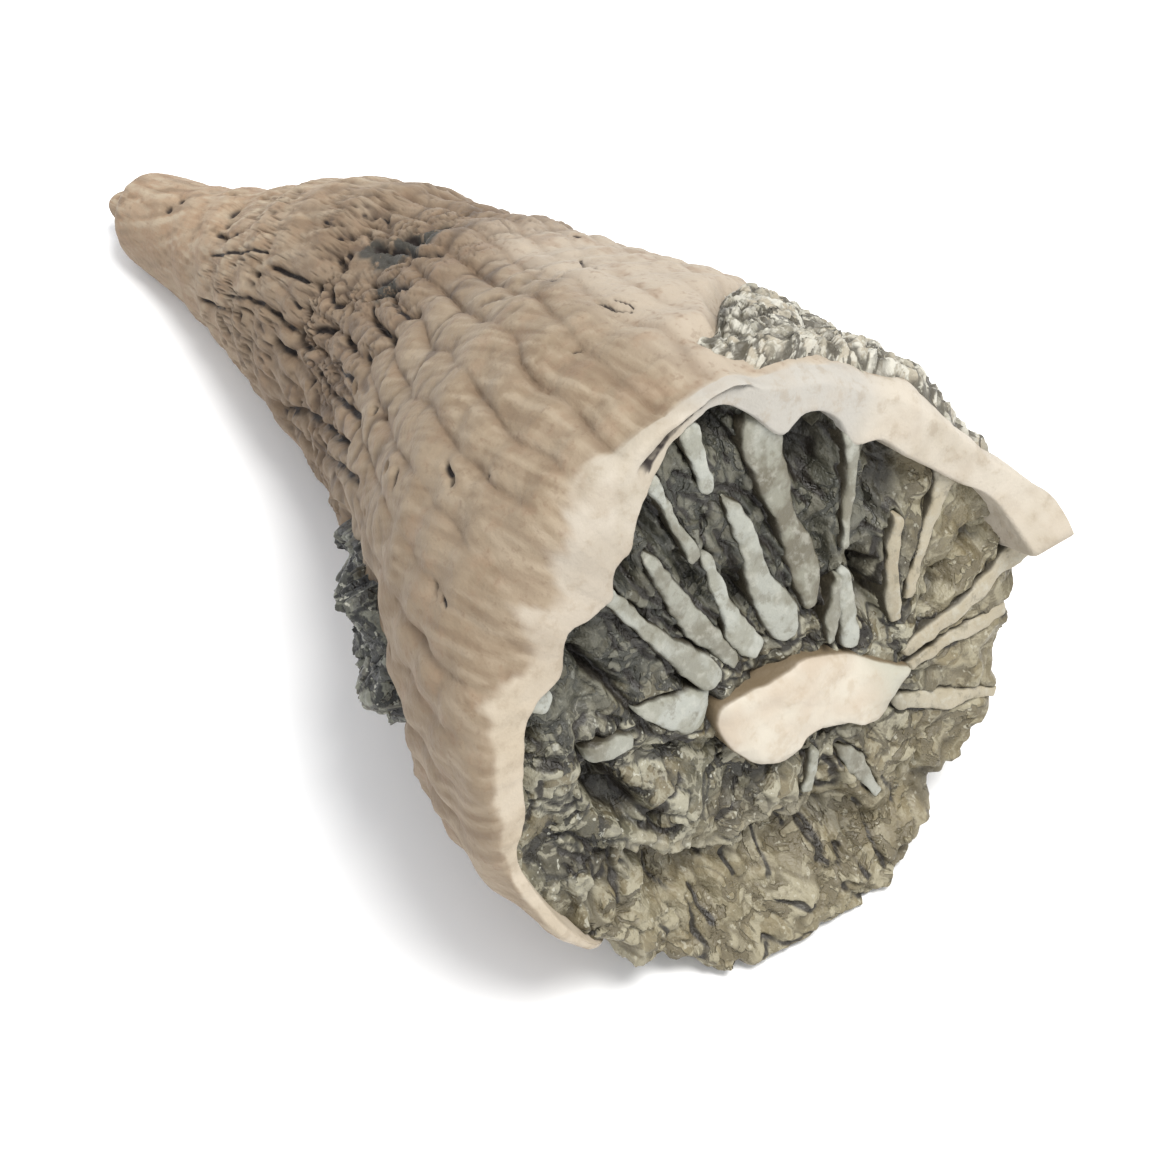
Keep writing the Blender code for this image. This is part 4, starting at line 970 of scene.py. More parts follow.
# Grooves between the grains and along the septa, darkened with painted shade: half-width and depth, then
# pixels of the photograph
GROOVES = (
    (0.16, 0.5, (712, 437), (711, 422), (725, 415), (740, 422), (752, 432), (745, 442), (727, 446),
     (718, 441)),
    (0.12, 0.3, (704, 422), (706, 440), (707, 458), (715, 472), (718, 482)),
    (0.13, 0.4, (680, 450), (690, 460), (695, 472), (701, 486)),
    (0.12, 0.3, (720, 460), (718, 472), (722, 485)), (0.12, 0.3, (731, 460), (731, 480), (728, 487)),
    (0.14, 0.4, (670, 482), (675, 495), (682, 510), (690, 522)),
    (0.18, 0.5, (705, 487), (717, 492), (735, 491), (750, 497), (762, 507)),
    (0.18, 0.5, (702, 535), (707, 522), (712, 510), (717, 498)),
    (0.15, 0.4, (680, 495), (700, 500), (712, 506)), (0.12, 0.3, (680, 475), (692, 477), (700, 485)),
    (0.16, 0.5, (635, 520), (637, 507), (642, 502), (655, 510), (665, 520), (672, 532), (680, 542),
     (692, 555)),
    (0.13, 0.4, (640, 512), (647, 522), (652, 540), (655, 557)),
    (0.13, 0.4, (702, 535), (705, 547), (700, 560)),
    (0.18, 0.5, (717, 535), (725, 545), (732, 560), (740, 575), (752, 585), (760, 597), (770, 615)),
    (0.12, 0.3, (762, 507), (772, 517), (768, 530)), (0.18, 0.5, (760, 537), (772, 550), (780, 560)),
    (0.16, 0.5, (767, 560), (775, 562), (782, 580), (790, 597)),
    (0.15, 0.4, (672, 575), (680, 565), (692, 560)),
    (0.16, 0.5, (685, 585), (692, 597), (702, 610), (717, 617), (727, 630), (732, 640)),
    (0.18, 0.5, (655, 612), (665, 602), (676, 605)),
    (0.17, 0.5, (632, 612), (650, 612), (657, 617), (670, 630), (690, 627), (705, 635), (717, 645),
     (730, 650)),
    (0.15, 0.4, (627, 565), (630, 577), (637, 585), (645, 597), (655, 600)),
    (0.14, 0.4, (620, 560), (615, 572), (607, 585), (615, 592)),
    (0.2, 0.5, (562, 640), (577, 622), (592, 617), (607, 617), (620, 625), (627, 635), (642, 650),
     (657, 661)),
    (0.14, 0.4, (561, 650), (565, 662), (566, 675)), (0.2, 0.4, (590, 620), (590, 632)),
    (0.14, 0.4, (610, 627), (615, 647), (622, 650)), (0.14, 0.4, (660, 647), (662, 662), (670, 675)),
    (0.24, 0.6, (592, 665), (602, 682), (617, 690), (627, 705), (640, 720), (650, 732), (662, 737)),
    (0.13, 0.4, (617, 675), (632, 677), (640, 687)),
    (0.18, 0.5, (675, 675), (690, 682), (705, 687), (722, 687)),
    (0.15, 0.4, (695, 687), (702, 697), (725, 702)), (0.13, 0.4, (645, 707), (660, 697), (680, 695)),
    (0.18, 0.5, (662, 737), (680, 741), (705, 742), (714, 722), (712, 706)),
    (0.2, 0.5, (722, 664), (737, 667), (757, 666), (772, 662), (785, 650), (797, 641)),
    (0.14, 0.4, (727, 682), (745, 677), (760, 680), (777, 677)),
    (0.16, 0.5, (782, 442), (782, 427), (790, 420), (800, 417), (817, 422), (830, 432), (842, 445)),
    (0.2, 0.6, (790, 432), (795, 442), (802, 447), (812, 442)),
    (0.16, 0.5, (787, 447), (792, 460), (790, 472)),
    (0.2, 0.6, (832, 447), (831, 465), (827, 480), (822, 492), (827, 500)),
    (0.2, 0.6, (805, 482), (817, 481), (812, 492), (822, 497)),
    (0.15, 0.5, (795, 480), (800, 495), (807, 505), (817, 510)),
    (0.2, 0.6, (850, 485), (850, 472), (862, 470), (865, 482), (855, 492)),
    (0.14, 0.4, (842, 472), (842, 495)), (0.2, 0.5, (867, 485), (872, 502), (877, 517)),
    (0.12, 0.3, (782, 540), (797, 537), (815, 545)),
    (0.2, 0.6, (807, 597), (812, 612), (820, 615), (822, 597), (825, 580)),
    (0.14, 0.4, (835, 632), (840, 620), (847, 602)),
    (0.16, 0.5, (842, 647), (852, 652), (862, 642), (865, 625)),
    (0.15, 0.4, (865, 642), (880, 644), (897, 642)), (0.16, 0.4, (807, 642), (820, 645), (830, 650)),
    (0.2, 0.5, (880, 542), (877, 560), (875, 572)), (0.14, 0.4, (862, 530), (880, 532), (900, 532)),
    (0.2, 0.6, (522, 747), (530, 741), (542, 748), (540, 757), (528, 760), (522, 748)),
    (0.15, 0.5, (602, 719), (615, 722), (620, 732), (615, 740)),
    (0.14, 0.4, (590, 722), (580, 730), (577, 747), (585, 755), (595, 745), (597, 730)),
    (0.18, 0.5, (532, 772), (540, 765), (552, 760), (567, 756), (582, 761), (592, 767)),
    (0.14, 0.4, (540, 780), (540, 800), (535, 820), (532, 832), (522, 842)),
    (0.16, 0.5, (605, 770), (618, 767)), (0.12, 0.3, (590, 787), (585, 802), (567, 810), (552, 805)),
    (0.2, 0.6, (600, 785), (610, 780), (622, 785), (632, 797), (642, 810), (655, 820), (657, 830)),
    (0.18, 0.5, (645, 830), (660, 832), (672, 830), (675, 822)), (0.24, 0.6, (660, 802), (660, 820)),
    (0.16, 0.5, (567, 847), (585, 844), (600, 857), (612, 862)),
    (0.16, 0.5, (570, 860), (592, 867), (610, 864), (622, 862)),
    (0.14, 0.4, (580, 820), (592, 815), (600, 805)),
    (0.2, 0.6, (640, 857), (652, 857), (667, 862), (685, 861), (700, 869), (717, 866), (725, 855),
     (737, 850)),
    (0.14, 0.4, (742, 855), (737, 870), (740, 880)),
    (0.16, 0.5, (725, 840), (750, 837), (762, 830), (772, 817), (782, 810)),
    (0.12, 0.3, (777, 820), (790, 825), (795, 835)), (0.12, 0.3, (767, 840), (770, 860), (767, 875)),
    (0.14, 0.4, (742, 787), (740, 800), (730, 812), (720, 824)),
    (0.14, 0.4, (665, 792), (675, 785), (680, 775)),
    (0.2, 0.6, (810, 822), (815, 830), (817, 845), (812, 852)),
    (0.14, 0.4, (807, 827), (810, 840), (820, 855), (830, 855), (835, 840)),
    (0.18, 0.5, (845, 850), (850, 860)), (0.18, 0.5, (830, 870), (840, 885), (852, 895), (862, 900)),
    (0.14, 0.4, (860, 805), (870, 820), (865, 835), (870, 850)),
    (0.2, 0.5, (822, 757), (820, 775), (820, 787), (832, 795), (842, 790), (837, 775), (825, 757)),
    (0.18, 0.5, (802, 752), (817, 738), (835, 727), (855, 722)),
    (0.14, 0.4, (880, 720), (885, 705), (897, 692)), (0.13, 0.3, (880, 777), (890, 787), (895, 802)),
    (0.16, 0.5, (622, 867), (625, 885), (620, 905), (620, 918)),
    (0.18, 0.5, (667, 877), (667, 892), (680, 900)), (0.16, 0.4, (632, 872), (640, 877)),
    (0.16, 0.4, (572, 872), (578, 877)), (0.12, 0.3, (562, 897), (567, 887)),
    (0.12, 0.3, (592, 892), (587, 902)), (0.14, 0.4, (600, 870), (602, 885), (615, 885), (622, 875)),
    (0.14, 0.4, (705, 900), (707, 915), (710, 922)),
    (0.16, 0.5, (695, 905), (697, 932), (702, 942), (698, 955)),
    (0.12, 0.3, (652, 927), (670, 932), (672, 945)),
    (0.18, 0.5, (750, 927), (760, 924), (772, 927), (782, 920), (790, 912), (802, 915)),
    (0.15, 0.4, (802, 922), (810, 932), (807, 950), (802, 960)), (0.13, 0.3, (745, 942), (752, 932)),
    (0.12, 0.3, (765, 890), (780, 887), (797, 892)), (0.16, 0.5, (847, 920), (850, 907), (865, 897)),
    (0.12, 0.3, (595, 945), (605, 952), (617, 954)), (0.12, 0.3, (567, 932), (577, 940), (600, 932)),
)
# Bright ledge across the lower half, with a drop beneath it
LEDGE = pixels_to_mouth(((640, 852), (667, 857), (700, 864), (725, 850), (750, 836), (770, 815), (800, 812)))
LEDGE_RISE = 0.25
LEDGE_DROP = 0.6
GROOVE_SHARE = 0.5         # share of their listed depth that the grooves are cut to
SEAM_CUT = 0.2             # depth of the seam along the septa
CLING_REACH = 0.75         # how far from the septa the sediment rises to them


def oval(u, v, row, power=2.0):
    """1 in the middle of an oval place and 0 beyond it."""
    mid_u, mid_v, half_length, half_width, turn = row[:5]
    c, s = math.cos(math.radians(turn)), math.sin(math.radians(turn))
    along, across = (u - mid_u) * c + (v - mid_v) * s, (v - mid_v) * c - (u - mid_u) * s
    away = np.hypot(along / half_length, across / half_width)
    return np.exp(-away ** power)


def line_distance(u, v, points):
    """Distance from a line through points, and the side of it as a signed distance."""
    nearest, signed = np.full_like(u, 99.0), np.full_like(u, 99.0)
    for (u0, v0), (u1, v1) in zip(points, points[1:]):
        du, dv = u1 - u0, v1 - v0
        t = np.clip(((u - u0) * du + (v - v0) * dv) / (du * du + dv * dv), 0.0, 1.0)
        away = np.hypot(u - u0 - du * t, v - v0 - dv * t)
        side = np.sign((u - u0) * dv - (v - v0) * du)
        signed = np.where(away < nearest, away * side, signed)
        nearest = np.minimum(nearest, away)
    return nearest, signed


def cut_hollows(height, u, v, flat, away):
    """The sediment's height with the hollows in it, and where they are."""
    hollow = np.zeros_like(u)
    bent_u, bent_v = u + 0.5 * perlin(flat / 0.9), v + 0.5 * perlin(flat / 0.9 + 5.0)
    for row in HOLLOWS:
        depth = row[5]
        dip = oval(bent_u, bent_v, row, 3.0) * ramp(away, -0.1, 0.15)
        height = height - depth * dip
        hollow = np.maximum(hollow, dip * min(depth, 1.2) / 1.2)
    return height, hollow


def cut_grooves(height, u, v, flat):
    """The sediment's height with the grooves in it, and where they are, for the painted shade in them."""
    groove = np.zeros_like(u)
    fine_u, fine_v = u + 0.16 * perlin(flat / 0.5 + 50.0), v + 0.16 * perlin(flat / 0.5 + 60.0)
    for width, depth, *pixels in GROOVES:
        points = pixels_to_mouth(pixels)
        (low_u, low_v), (high_u, high_v) = np.min(points, axis=0) - 1.0, np.max(points, axis=0) + 1.0
        near = (fine_u > low_u) & (fine_u < high_u) & (fine_v > low_v) & (fine_v < high_v)
        distance, _ = line_distance(fine_u[near], fine_v[near], points)
        bite = np.exp(-(distance / width) ** 2)
        height[near] = height[near] - GROOVE_SHARE * depth * bite
        groove[near] = np.maximum(groove[near], bite)
    return height, groove * np.clip(0.95 + 0.9 * perlin(flat / 0.55 + 80.0), 0.35, 1.0)


def matrix_height(u, v):
    """Height of the sediment's rough top, and the masks for its colours."""
    flat = stack(u, v, 3.0)
    lumps = rough(flat / INFILL_LUMP, 2)
    low = ramp(-v, 3.0, 7.0)
    lift = smooth_round(INFILL_EDGE_LIFT, np.degrees(np.arctan2(v, u)))
    height = INFILL_TOP + INFILL_ROUGHNESS * lumps + lift * ramp(np.hypot(u, v), *INFILL_LIFT_REACH)
    bend = stack(perlin(flat / 1.3 + 11.0), perlin(flat / 1.3 + 31.0), 0.0) * 1.3
    big_border, big_pick = cells((flat + bend) / BIG_GRAIN)
    small_border, small_pick = cells((flat + bend * 0.6) / SMALL_GRAIN)
    big, small = ramp(big_border, 0.0, 0.22), ramp(small_border, 0.0, 0.3)
    height = height + BIG_GRAIN_STEP * (big_pick - 0.5) * big - BIG_GRAIN_GAP * (1.0 - big)
    height = height + SMALL_GRAIN_STEP * (small_pick - 0.5) * small - SMALL_GRAIN_GAP * (1.0 - small)
    height = height + 0.09 * rough(flat / FINE_GRAIN, 3)
    height = height + LOW_RELIEF * low * perlin(flat / np.array((0.9, 1.5, 1.0)) + 70.0)
    for row in LUMPS:
        height = height + row[5] * oval(u, v, row, 3.5)
    _, drop_side = line_distance(u + 0.4 * perlin(flat / 0.8), v + 0.4 * perlin(flat / 0.8 + 5.0), LEDGE)
    on_ledge = ramp(drop_side, -1.2, -0.05) * (1.0 - ramp(drop_side, -0.05, 0.05)) * (np.abs(drop_side) < 5.0)
    below = ramp(drop_side, 0.0, 0.2) * (1.0 - ramp(drop_side, 0.4, 2.2))
    height = height + LEDGE_RISE * on_ledge - LEDGE_DROP * below

    # The sediment clings to the septa and the boss, with a thin seam along them that is darkened with painted
    # shade
    away = septum_distance(u + 0.1 * perlin(flat / 0.5), v)
    cling = np.exp(-(np.maximum(away, 0.0) / CLING_REACH) ** 2)
    cling = cling * np.clip(0.85 + perlin(flat / 1.6 + 3.0), 0.0, 1.0)
    height = height + (SEPTUM_TOP - 0.06 + 0.25 * perlin(flat / 0.6) - height) * cling
    inside = 1.0 - ramp(away, -0.16, 0.02)
    height = height + (np.minimum(SEPTUM_TOP - 0.7, height) - height) * inside
    seam = np.exp(-((away - 0.06) / 0.1) ** 2) * ramp(perlin(flat / 1.1 + 8.0), -0.3, 0.0)
    height, hollow = cut_hollows(height, u, v, flat, away)
    height, groove = cut_grooves(height, u, v, flat)
    masks = {
        # hollow: the hollows' depth, for the painted shade in them
        "hollow": hollow,
        # groove: the grooves and the seam, for the painted shade in them
        "groove": np.maximum(groove, 0.8 * seam),
        # painted shade in the gaps between the grains
        "crevice_shade": np.maximum((1.0 - big) * 0.9, (1.0 - small) * 0.6),
        "pick": small_pick,
        "lump": big_pick,
        "ledge": on_ledge,
        "warm": np.maximum(ramp(-v, 4.0, 9.0), ramp(u, 6.5, 10.0)),
        "cool": ramp(v, 0.0, 3.5) * (1.0 - ramp(u, 6.5, 10.0)),
    }
    return height - SEAM_CUT * seam, masks


def carried_on(masks, count):
    """Masks with their last ring repeated for a mesh of count rings."""
    return {
        key: np.concatenate([values, np.broadcast_to(values[-1:], (count - len(values), values.shape[1]))])
        for key, values in masks.items()
    }


def make_matrix():
    """The sediment in the calyx: its rough top, its side and its underside."""
    angle = np.linspace(0.0, 360.0, MATRIX_AROUND, endpoint=False)[None, :]
    turn = np.radians(angle)
    cosine, sine = np.cos(turn), np.sin(turn)
    rim = rim_height(angle)
    overhang = ramp(-rim, 1.9, 2.6)
    edge = smooth_round(CALYX_EDGE, angle)
    inner = edge + WALL_OVERLAP
    ring = stack(cosine, sine, 1.7)
    craggy = 0.5 * perlin(ring * 5.0) + 0.45 * rough(ring * 16.0, 2) + 0.15
    outer = inner + (smooth_round(INFILL_SPREAD, angle) + craggy - inner) * overhang
    share = spread(((0.0, 0.12, 4), (0.12, 1.0, 122)))[:, None]
    mid_u, mid_v = MATRIX_MIDDLE
    u = mid_u + (outer * cosine - mid_u) * share
    v = mid_v + (outer * sine - mid_v) * share
    height, masks = matrix_height(u, v)
    # The top meets the wall, and is rounded over where the rim is broken
    fringe = ramp(share, 0.95, 1.0)
    height = height + (np.minimum(height, rim - 0.35) - height) * fringe * (1.0 - overhang)
    height = height - 0.3 * fringe ** 3 * overhang
    top = on_plane(CALYX_X + height, u, v)

    # The side, down over the broken rim and into the calyx
    edge_height = height[-1:]
    down = np.linspace(0.0, 1.0, 16)[1:, None]
    under = edge_height - 0.4 + (rim + OVERHANG_GAP - edge_height) * overhang
    side_height = edge_height + (under - edge_height) * down
    flat = stack(outer * cosine, outer * sine, side_height)
    crags = 0.35 * rough(flat / 0.8, 3) * overhang * np.sin(math.pi * np.minimum(down * 1.1, 1.0))
    side = on_level(CALYX_X + side_height, angle, outer + crags)

    # The underside, from the wall to the middle
    floor_share, pull = np.array(MATRIX_FLOOR).T[..., None]
    floor_height = under + (MATRIX_BOTTOM - under) * floor_share
    floor = on_level(CALYX_X + floor_height, angle, edge * pull)
    rows = off_the_floor(np.concatenate([top, side, floor]), FLOOR_CLEARANCE)
    return closed_mesh("calyx_matrix", to_metres(rows), carried_on(masks, len(rows)))


# ---------------------------------------------------------------- crusts

CRUST_LIMIT = 8.6          # how near the mouth plane a crust may come
CRUST_GRAIN, CRUST_SMALL_GRAIN = 1.4, 0.6
CRUST_EDGE_STEPS = 12
CRUST_UNDERSIDE = (0.99, 0.9, 0.5, 0.0)    # shares of the way out from the middle
CRUST_SINK = 0.15                          # how far the underside runs into the wall


def crust_relief(place, seed):
    """The crust's lumps and grains: height and the masks for its colours."""
    bend = stack(*(perlin(place / 1.1 + shift) for shift in (0.0, 9.0, 19.0))) * 1.2
    border, pick = cells((place + bend + seed) / CRUST_GRAIN)
    small_border, small_pick = cells((place + bend + seed) / CRUST_SMALL_GRAIN)
    lump, small = ramp(border, 0.0, 0.3), ramp(small_border, 0.0, 0.35)
    relief = 0.3 * (pick - 0.5) * lump - 0.22 * (1.0 - lump) + 0.1 * (small - 0.6)
    # painted shade in the gaps between the crust's grains
    masks = {"crevice_shade": np.maximum(1.0 - lump, 0.7 * (1.0 - small)), "pick": small_pick, "lump": pick}
    return relief + 0.08 * rough(place / 0.5, 3), masks


def make_crust(name, crust, reach, proud, patchy, counts, seed):
    """A lumpy plate in its scar on the horn: its top, its ragged edge and its underside."""
    widen = math.degrees(reach / float(horn_radius((crust[0][1] + crust[0][2]) / 2.0)))
    first, last = crust[0][0], crust[-1][0]
    middle, half = (first + last) / 2.0, (last - first) / 2.0 + widen
    starts = [(row[0], row[1] - reach) for row in crust]
    ends = [(row[0], min(row[2] + reach, CRUST_LIMIT)) for row in crust]

    # A square laid out on a disc, so that the plate's edge is one ring
    turn = np.linspace(0.0, math.tau, counts[0], endpoint=False)[None, :]
    share = spread(((0.0, 0.88, counts[1]), (0.88, 1.0, CRUST_EDGE_STEPS)))[:, None]
    stretch = 1.0 / np.maximum(np.abs(np.cos(turn)), np.abs(np.sin(turn))) ** 0.55
    ring = stack(np.cos(turn), np.sin(turn), seed)
    ragged = 1.0 + 0.16 * perlin(ring * 3.0) + 0.1 * perlin(ring * 9.0)
    flat_a, flat_b = share * np.cos(turn) * stretch * ragged, share * np.sin(turn) * stretch * ragged
    angle = middle + half * np.clip(flat_b, -1.0, 1.0)
    start, end = smooth_through(starts, angle), smooth_through(ends, angle)
    x = (start + end) / 2.0 + (end - start) / 2.0 * np.clip(flat_a, -1.0, 1.0)

    whole = horn_radius(x) + broad_relief(x, angle)
    place = stack(x, whole * np.cos(np.radians(angle)), whole * np.sin(np.radians(angle)))
    relief, masks = crust_relief(place, seed)
    patches = patchy * (perlin(place / 2.0 + seed) - 0.1)
    edge = ramp(share, 0.78, 1.0)
    top = whole + (proud + patches) * (1.0 - edge) + relief * (1.0 - 0.5 * edge)
    top = top - (SCAR_DEPTH + 0.1) * edge ** 3
    top_rows = on_level(x, angle, np.maximum(top, outside_radius(x, angle) - 0.05))
    below = np.array(CRUST_UNDERSIDE)[:, None]
    below_angle, below_x = middle + (angle[-1:] - middle) * below, x[:1] + (x[-1:] - x[:1]) * below
    below_rows = on_level(below_x, below_angle, outside_radius(below_x, below_angle) - CRUST_SINK)
    rows = np.concatenate([top_rows, below_rows])
    return closed_mesh(name, to_metres(rows), carried_on(masks, len(rows)))


# ---------------------------------------------------------------- materials

LIGHT_GAIN = 1.4          # how much brighter than white paper the floor is lit


def colour(red, green, blue):
    """Linear colour of the surface that shows as an sRGB colour from 0 to 255 under the bright light."""
    def linear(c):
        c /= 255.0
        return (c / 12.92 if c <= 0.04045 else ((c + 0.055) / 1.055) ** 2.4) / LIGHT_GAIN
    return (linear(red), linear(green), linear(blue), 1.0)


class Nodes:
    """Short ways to wire a procedural material."""

    def __init__(self, name, roughness):
        self.material = bpy.data.materials.new(name)
        self.material.use_nodes = True
        self.tree = self.material.node_tree
        self.shader = self.tree.nodes["Principled BSDF"]
        self.shader.inputs["Roughness"].default_value = roughness
        self.place = self.tree.nodes.new("ShaderNodeTexCoord").outputs["Object"]

    def node(self, kind, **inputs):
        """A new node with numbers or links in the inputs that are named."""
        node = self.tree.nodes.new("ShaderNode" + kind)
        for key, value in inputs.items():
            self.link(value, node.inputs[key])
        return node

    def link(self, value, socket):
        if isinstance(value, bpy.types.NodeSocket):
            self.tree.links.new(value, socket)
        else:
            socket.default_value = value

    def attribute(self, name):
        node = self.node("Attribute")
        node.attribute_name = name
        return node.outputs["Fac"]

    def noise(self, size, detail=3.0, roughness=0.55, distortion=0.0):
        """Noise whose largest features are size millimetres across."""
        node = self.node(
            "TexNoise", Vector=self.place, Scale=1.0 / (size * MM), Detail=detail, Roughness=roughness,
            Distortion=distortion,
        )
        return node.outputs["Fac"]

    def steer(self, value, low, high, out_low=0.0, out_high=1.0):
        """The value carried smoothly from one range to another."""
        ranges = {"From Min": low, "From Max": high, "To Min": out_low, "To Max": out_high}
        node = self.node("MapRange", Value=value, **ranges)
        node.interpolation_type = "SMOOTHSTEP"
        return node.outputs["Result"]

    def math(self, operation, a, b=0.0):
        node = self.node("Math")
        node.operation = operation
        self.link(a, node.inputs[0])
        self.link(b, node.inputs[1])
        return node.outputs[0]

    def mix(self, factor, a, b):
        node = self.node("Mix")
        node.data_type = "RGBA"
        for index, value in ((0, factor), (6, a), (7, b)):
            self.link(value, node.inputs[index])
        return node.outputs[2]

    def tint(self, base, *tints):
        """The base with other colours over it in turn, each as (mask, share, colour)."""
        for mask, share, tone in tints:
            base = self.mix(self.math("MULTIPLY", mask, share), base, colour(*tone))
        return base

    def line(self, size, width, distortion):
        """Winding lines: 1 on them and 0 beside them."""
        away = self.math("ABSOLUTE", self.math("SUBTRACT", self.noise(size, 4.0, distortion=distortion), 0.5))
        return self.steer(away, width * 0.4, width, 1.0, 0.0)

    def finish(self, base, roughness, height, depth, strength):
        """The material, with bump of depth millimetres."""
        bump = self.node("Bump", Distance=depth * MM, Strength=strength, Height=height)
        self.link(base, self.shader.inputs["Base Color"])
        self.link(roughness, self.shader.inputs["Roughness"])
        self.link(bump.outputs["Normal"], self.shader.inputs["Normal"])
        return self.material


def wall_material():
    n = Nodes("weathered_calcite", 0.7)
    along, streak, flank_shade = n.attribute("along"), n.attribute("streak"), n.attribute("flank_shade")
    fine, grit = n.noise(0.8, 4.0, 0.65), n.noise(0.35, 3.0, 0.6)
    middle = n.math("MULTIPLY", n.steer(along, 0.3, 0.5), n.steer(along, 1.0, 0.88))
    corded = n.math("MULTIPLY", n.steer(along, 0.24, 0.36), n.steer(along, 0.62, 0.5))
    base = n.mix(n.steer(n.noise(5.0, 3.0), 0.35, 0.65), colour(160, 141, 115), colour(146, 127, 102))
    base = n.tint(
        base,
        (n.steer(along, 0.42, 0.12), 0.85, (164, 134, 105)),
        (n.steer(fine, 0.38, 0.66), 0.5, (178, 163, 140)),
        (n.steer(streak, 0.5, 0.75), 0.7, (188, 172, 148)),
        (n.steer(streak, 0.5, 0.25), 0.65, (126, 104, 81)),
        (n.steer(n.attribute("pick"), 0.2, 0.9), 0.25, (190, 175, 152)),
        (middle, 0.35, (130, 110, 86)),
        (corded, 0.5, (116, 92, 70)),
        # painted shade on the lower flank
        (flank_shade, 0.42, (118, 98, 76)),
        # paler smooth top: partly its own colour, partly painted light
        (n.attribute("pale"), 0.85, (189, 175, 156)),
        (n.steer(n.noise(1.4, 3.0, 0.6), 0.52, 0.66), 0.4, (150, 124, 99)),
        (n.attribute("groove"), 0.6, (120, 97, 74)),
        (n.attribute("crease"), 0.85, (66, 48, 35)),
        (n.steer(grit, 0.55, 0.7), 0.3, (116, 92, 70)),
    )
    cream = n.mix(n.steer(n.noise(3.2, 2.0), 0.4, 0.62), colour(200, 190, 174), colour(184, 173, 155))
    cream = n.tint(
        cream,
        (n.attribute("lilac"), 0.8, (182, 178, 170)),
        # painted shade where the rim turns away from the light
        (n.attribute("turned_rim_shade"), 0.6, (176, 165, 150)),
        # painted shade on the lower flank of the rim
        (flank_shade, 0.35, (190, 170, 141)),
        (n.steer(fine, 0.52, 0.68), 0.4, (160, 145, 124)),
    )
    worn = n.math("MULTIPLY", n.attribute("worn"), n.steer(n.noise(2.2, 3.0), 0.3, 0.5, 0.7, 1.0))
    stained = n.math("MULTIPLY", n.attribute("stain"), n.steer(n.noise(0.9, 4.0, 0.7), 0.3, 0.5))
    uneven = n.steer(n.noise(0.9, 2.0), 0.36, 0.52, 0.35, 1.0)
    # painted shade in the cracks and pits, with the dark seam round the rim
    dark = n.math("MULTIPLY", n.steer(n.attribute("dark"), 0.3, 0.8), uneven)
    base = n.mix(worn, base, cream)
    base = n.tint(base, (n.steer(stained, 0.1, 0.6), 1.0, (66, 62, 54)), (dark, 1.0, (38, 26, 20)))
    height = n.math("ADD", n.math("MULTIPLY", fine, 0.7), n.math("MULTIPLY", grit, 0.3))
    return n.finish(base, n.steer(fine, 0.3, 0.7, 0.66, 0.86), height, 0.2, 0.7)


def septum_material():
    n = Nodes("septum_calcite", 0.45)
    grain = n.noise(0.7, 4.0, 0.65)
    mottle = n.steer(n.noise(1.3, 3.0), 0.42, 0.58)
    grey = n.mix(mottle, colour(138, 136, 120), colour(104, 98, 80))
    white = n.mix(mottle, colour(170, 171, 161), colour(150, 149, 135))
    base = n.tint(
        n.mix(n.attribute("tone"), grey, white),
        (n.attribute("warm"), 0.7, (176, 162, 134)),
        # painted highlights: pale spots over the blades
        (n.steer(grain, 0.5, 0.68), 0.35, (198, 196, 184)),
        (n.steer(grain, 0.46, 0.34), 0.5, (108, 102, 82)),
        # painted shade on the blades' sides
        (n.steer(n.attribute("side"), 0.86, 0.99), 1.0, (62, 56, 42)),
    )
    return n.finish(base, n.steer(grain, 0.3, 0.7, 0.42, 0.64), grain, 0.2, 0.7)


def boss_material():
    n = Nodes("boss_calcite", 0.5)
    grain = n.noise(0.9, 4.0, 0.6)
    base = n.tint(
        n.mix(n.steer(n.noise(3.0, 2.0), 0.38, 0.62), colour(206, 197, 180), colour(194, 179, 159)),
        (n.attribute("grey"), 1.0, (184, 180, 163)),
        (n.steer(grain, 0.5, 0.7), 0.4, (176, 156, 130)),
        # painted shade on the boss's rounded edge and side
        (n.steer(n.attribute("side"), 0.9, 1.0), 1.0, (120, 104, 80)),
    )
    return n.finish(base, n.steer(grain, 0.3, 0.7, 0.46, 0.66), grain, 0.16, 0.6)


# The mudstones' light, middle, dark and tan grains, and the ink of their lines, which also paints the shade
# in their crevices
INFILL_TONES = ((164, 159, 138), (100, 96, 77), (60, 54, 41), (117, 107, 81), (30, 27, 20))
PALE_CRUST_TONES = ((206, 202, 188), (160, 156, 140), (116, 108, 90), (176, 166, 146), (76, 70, 56))
# The lower crust: the same sediment darkened, painted shade on the lower flank
SHADED_CRUST_TONES = ((128, 128, 114), (66, 66, 58), (26, 24, 22), (96, 92, 80), (10, 9, 8))
# Bright specks over the mudstones, painted glints
GLINT_SPECKS = (206, 204, 188)


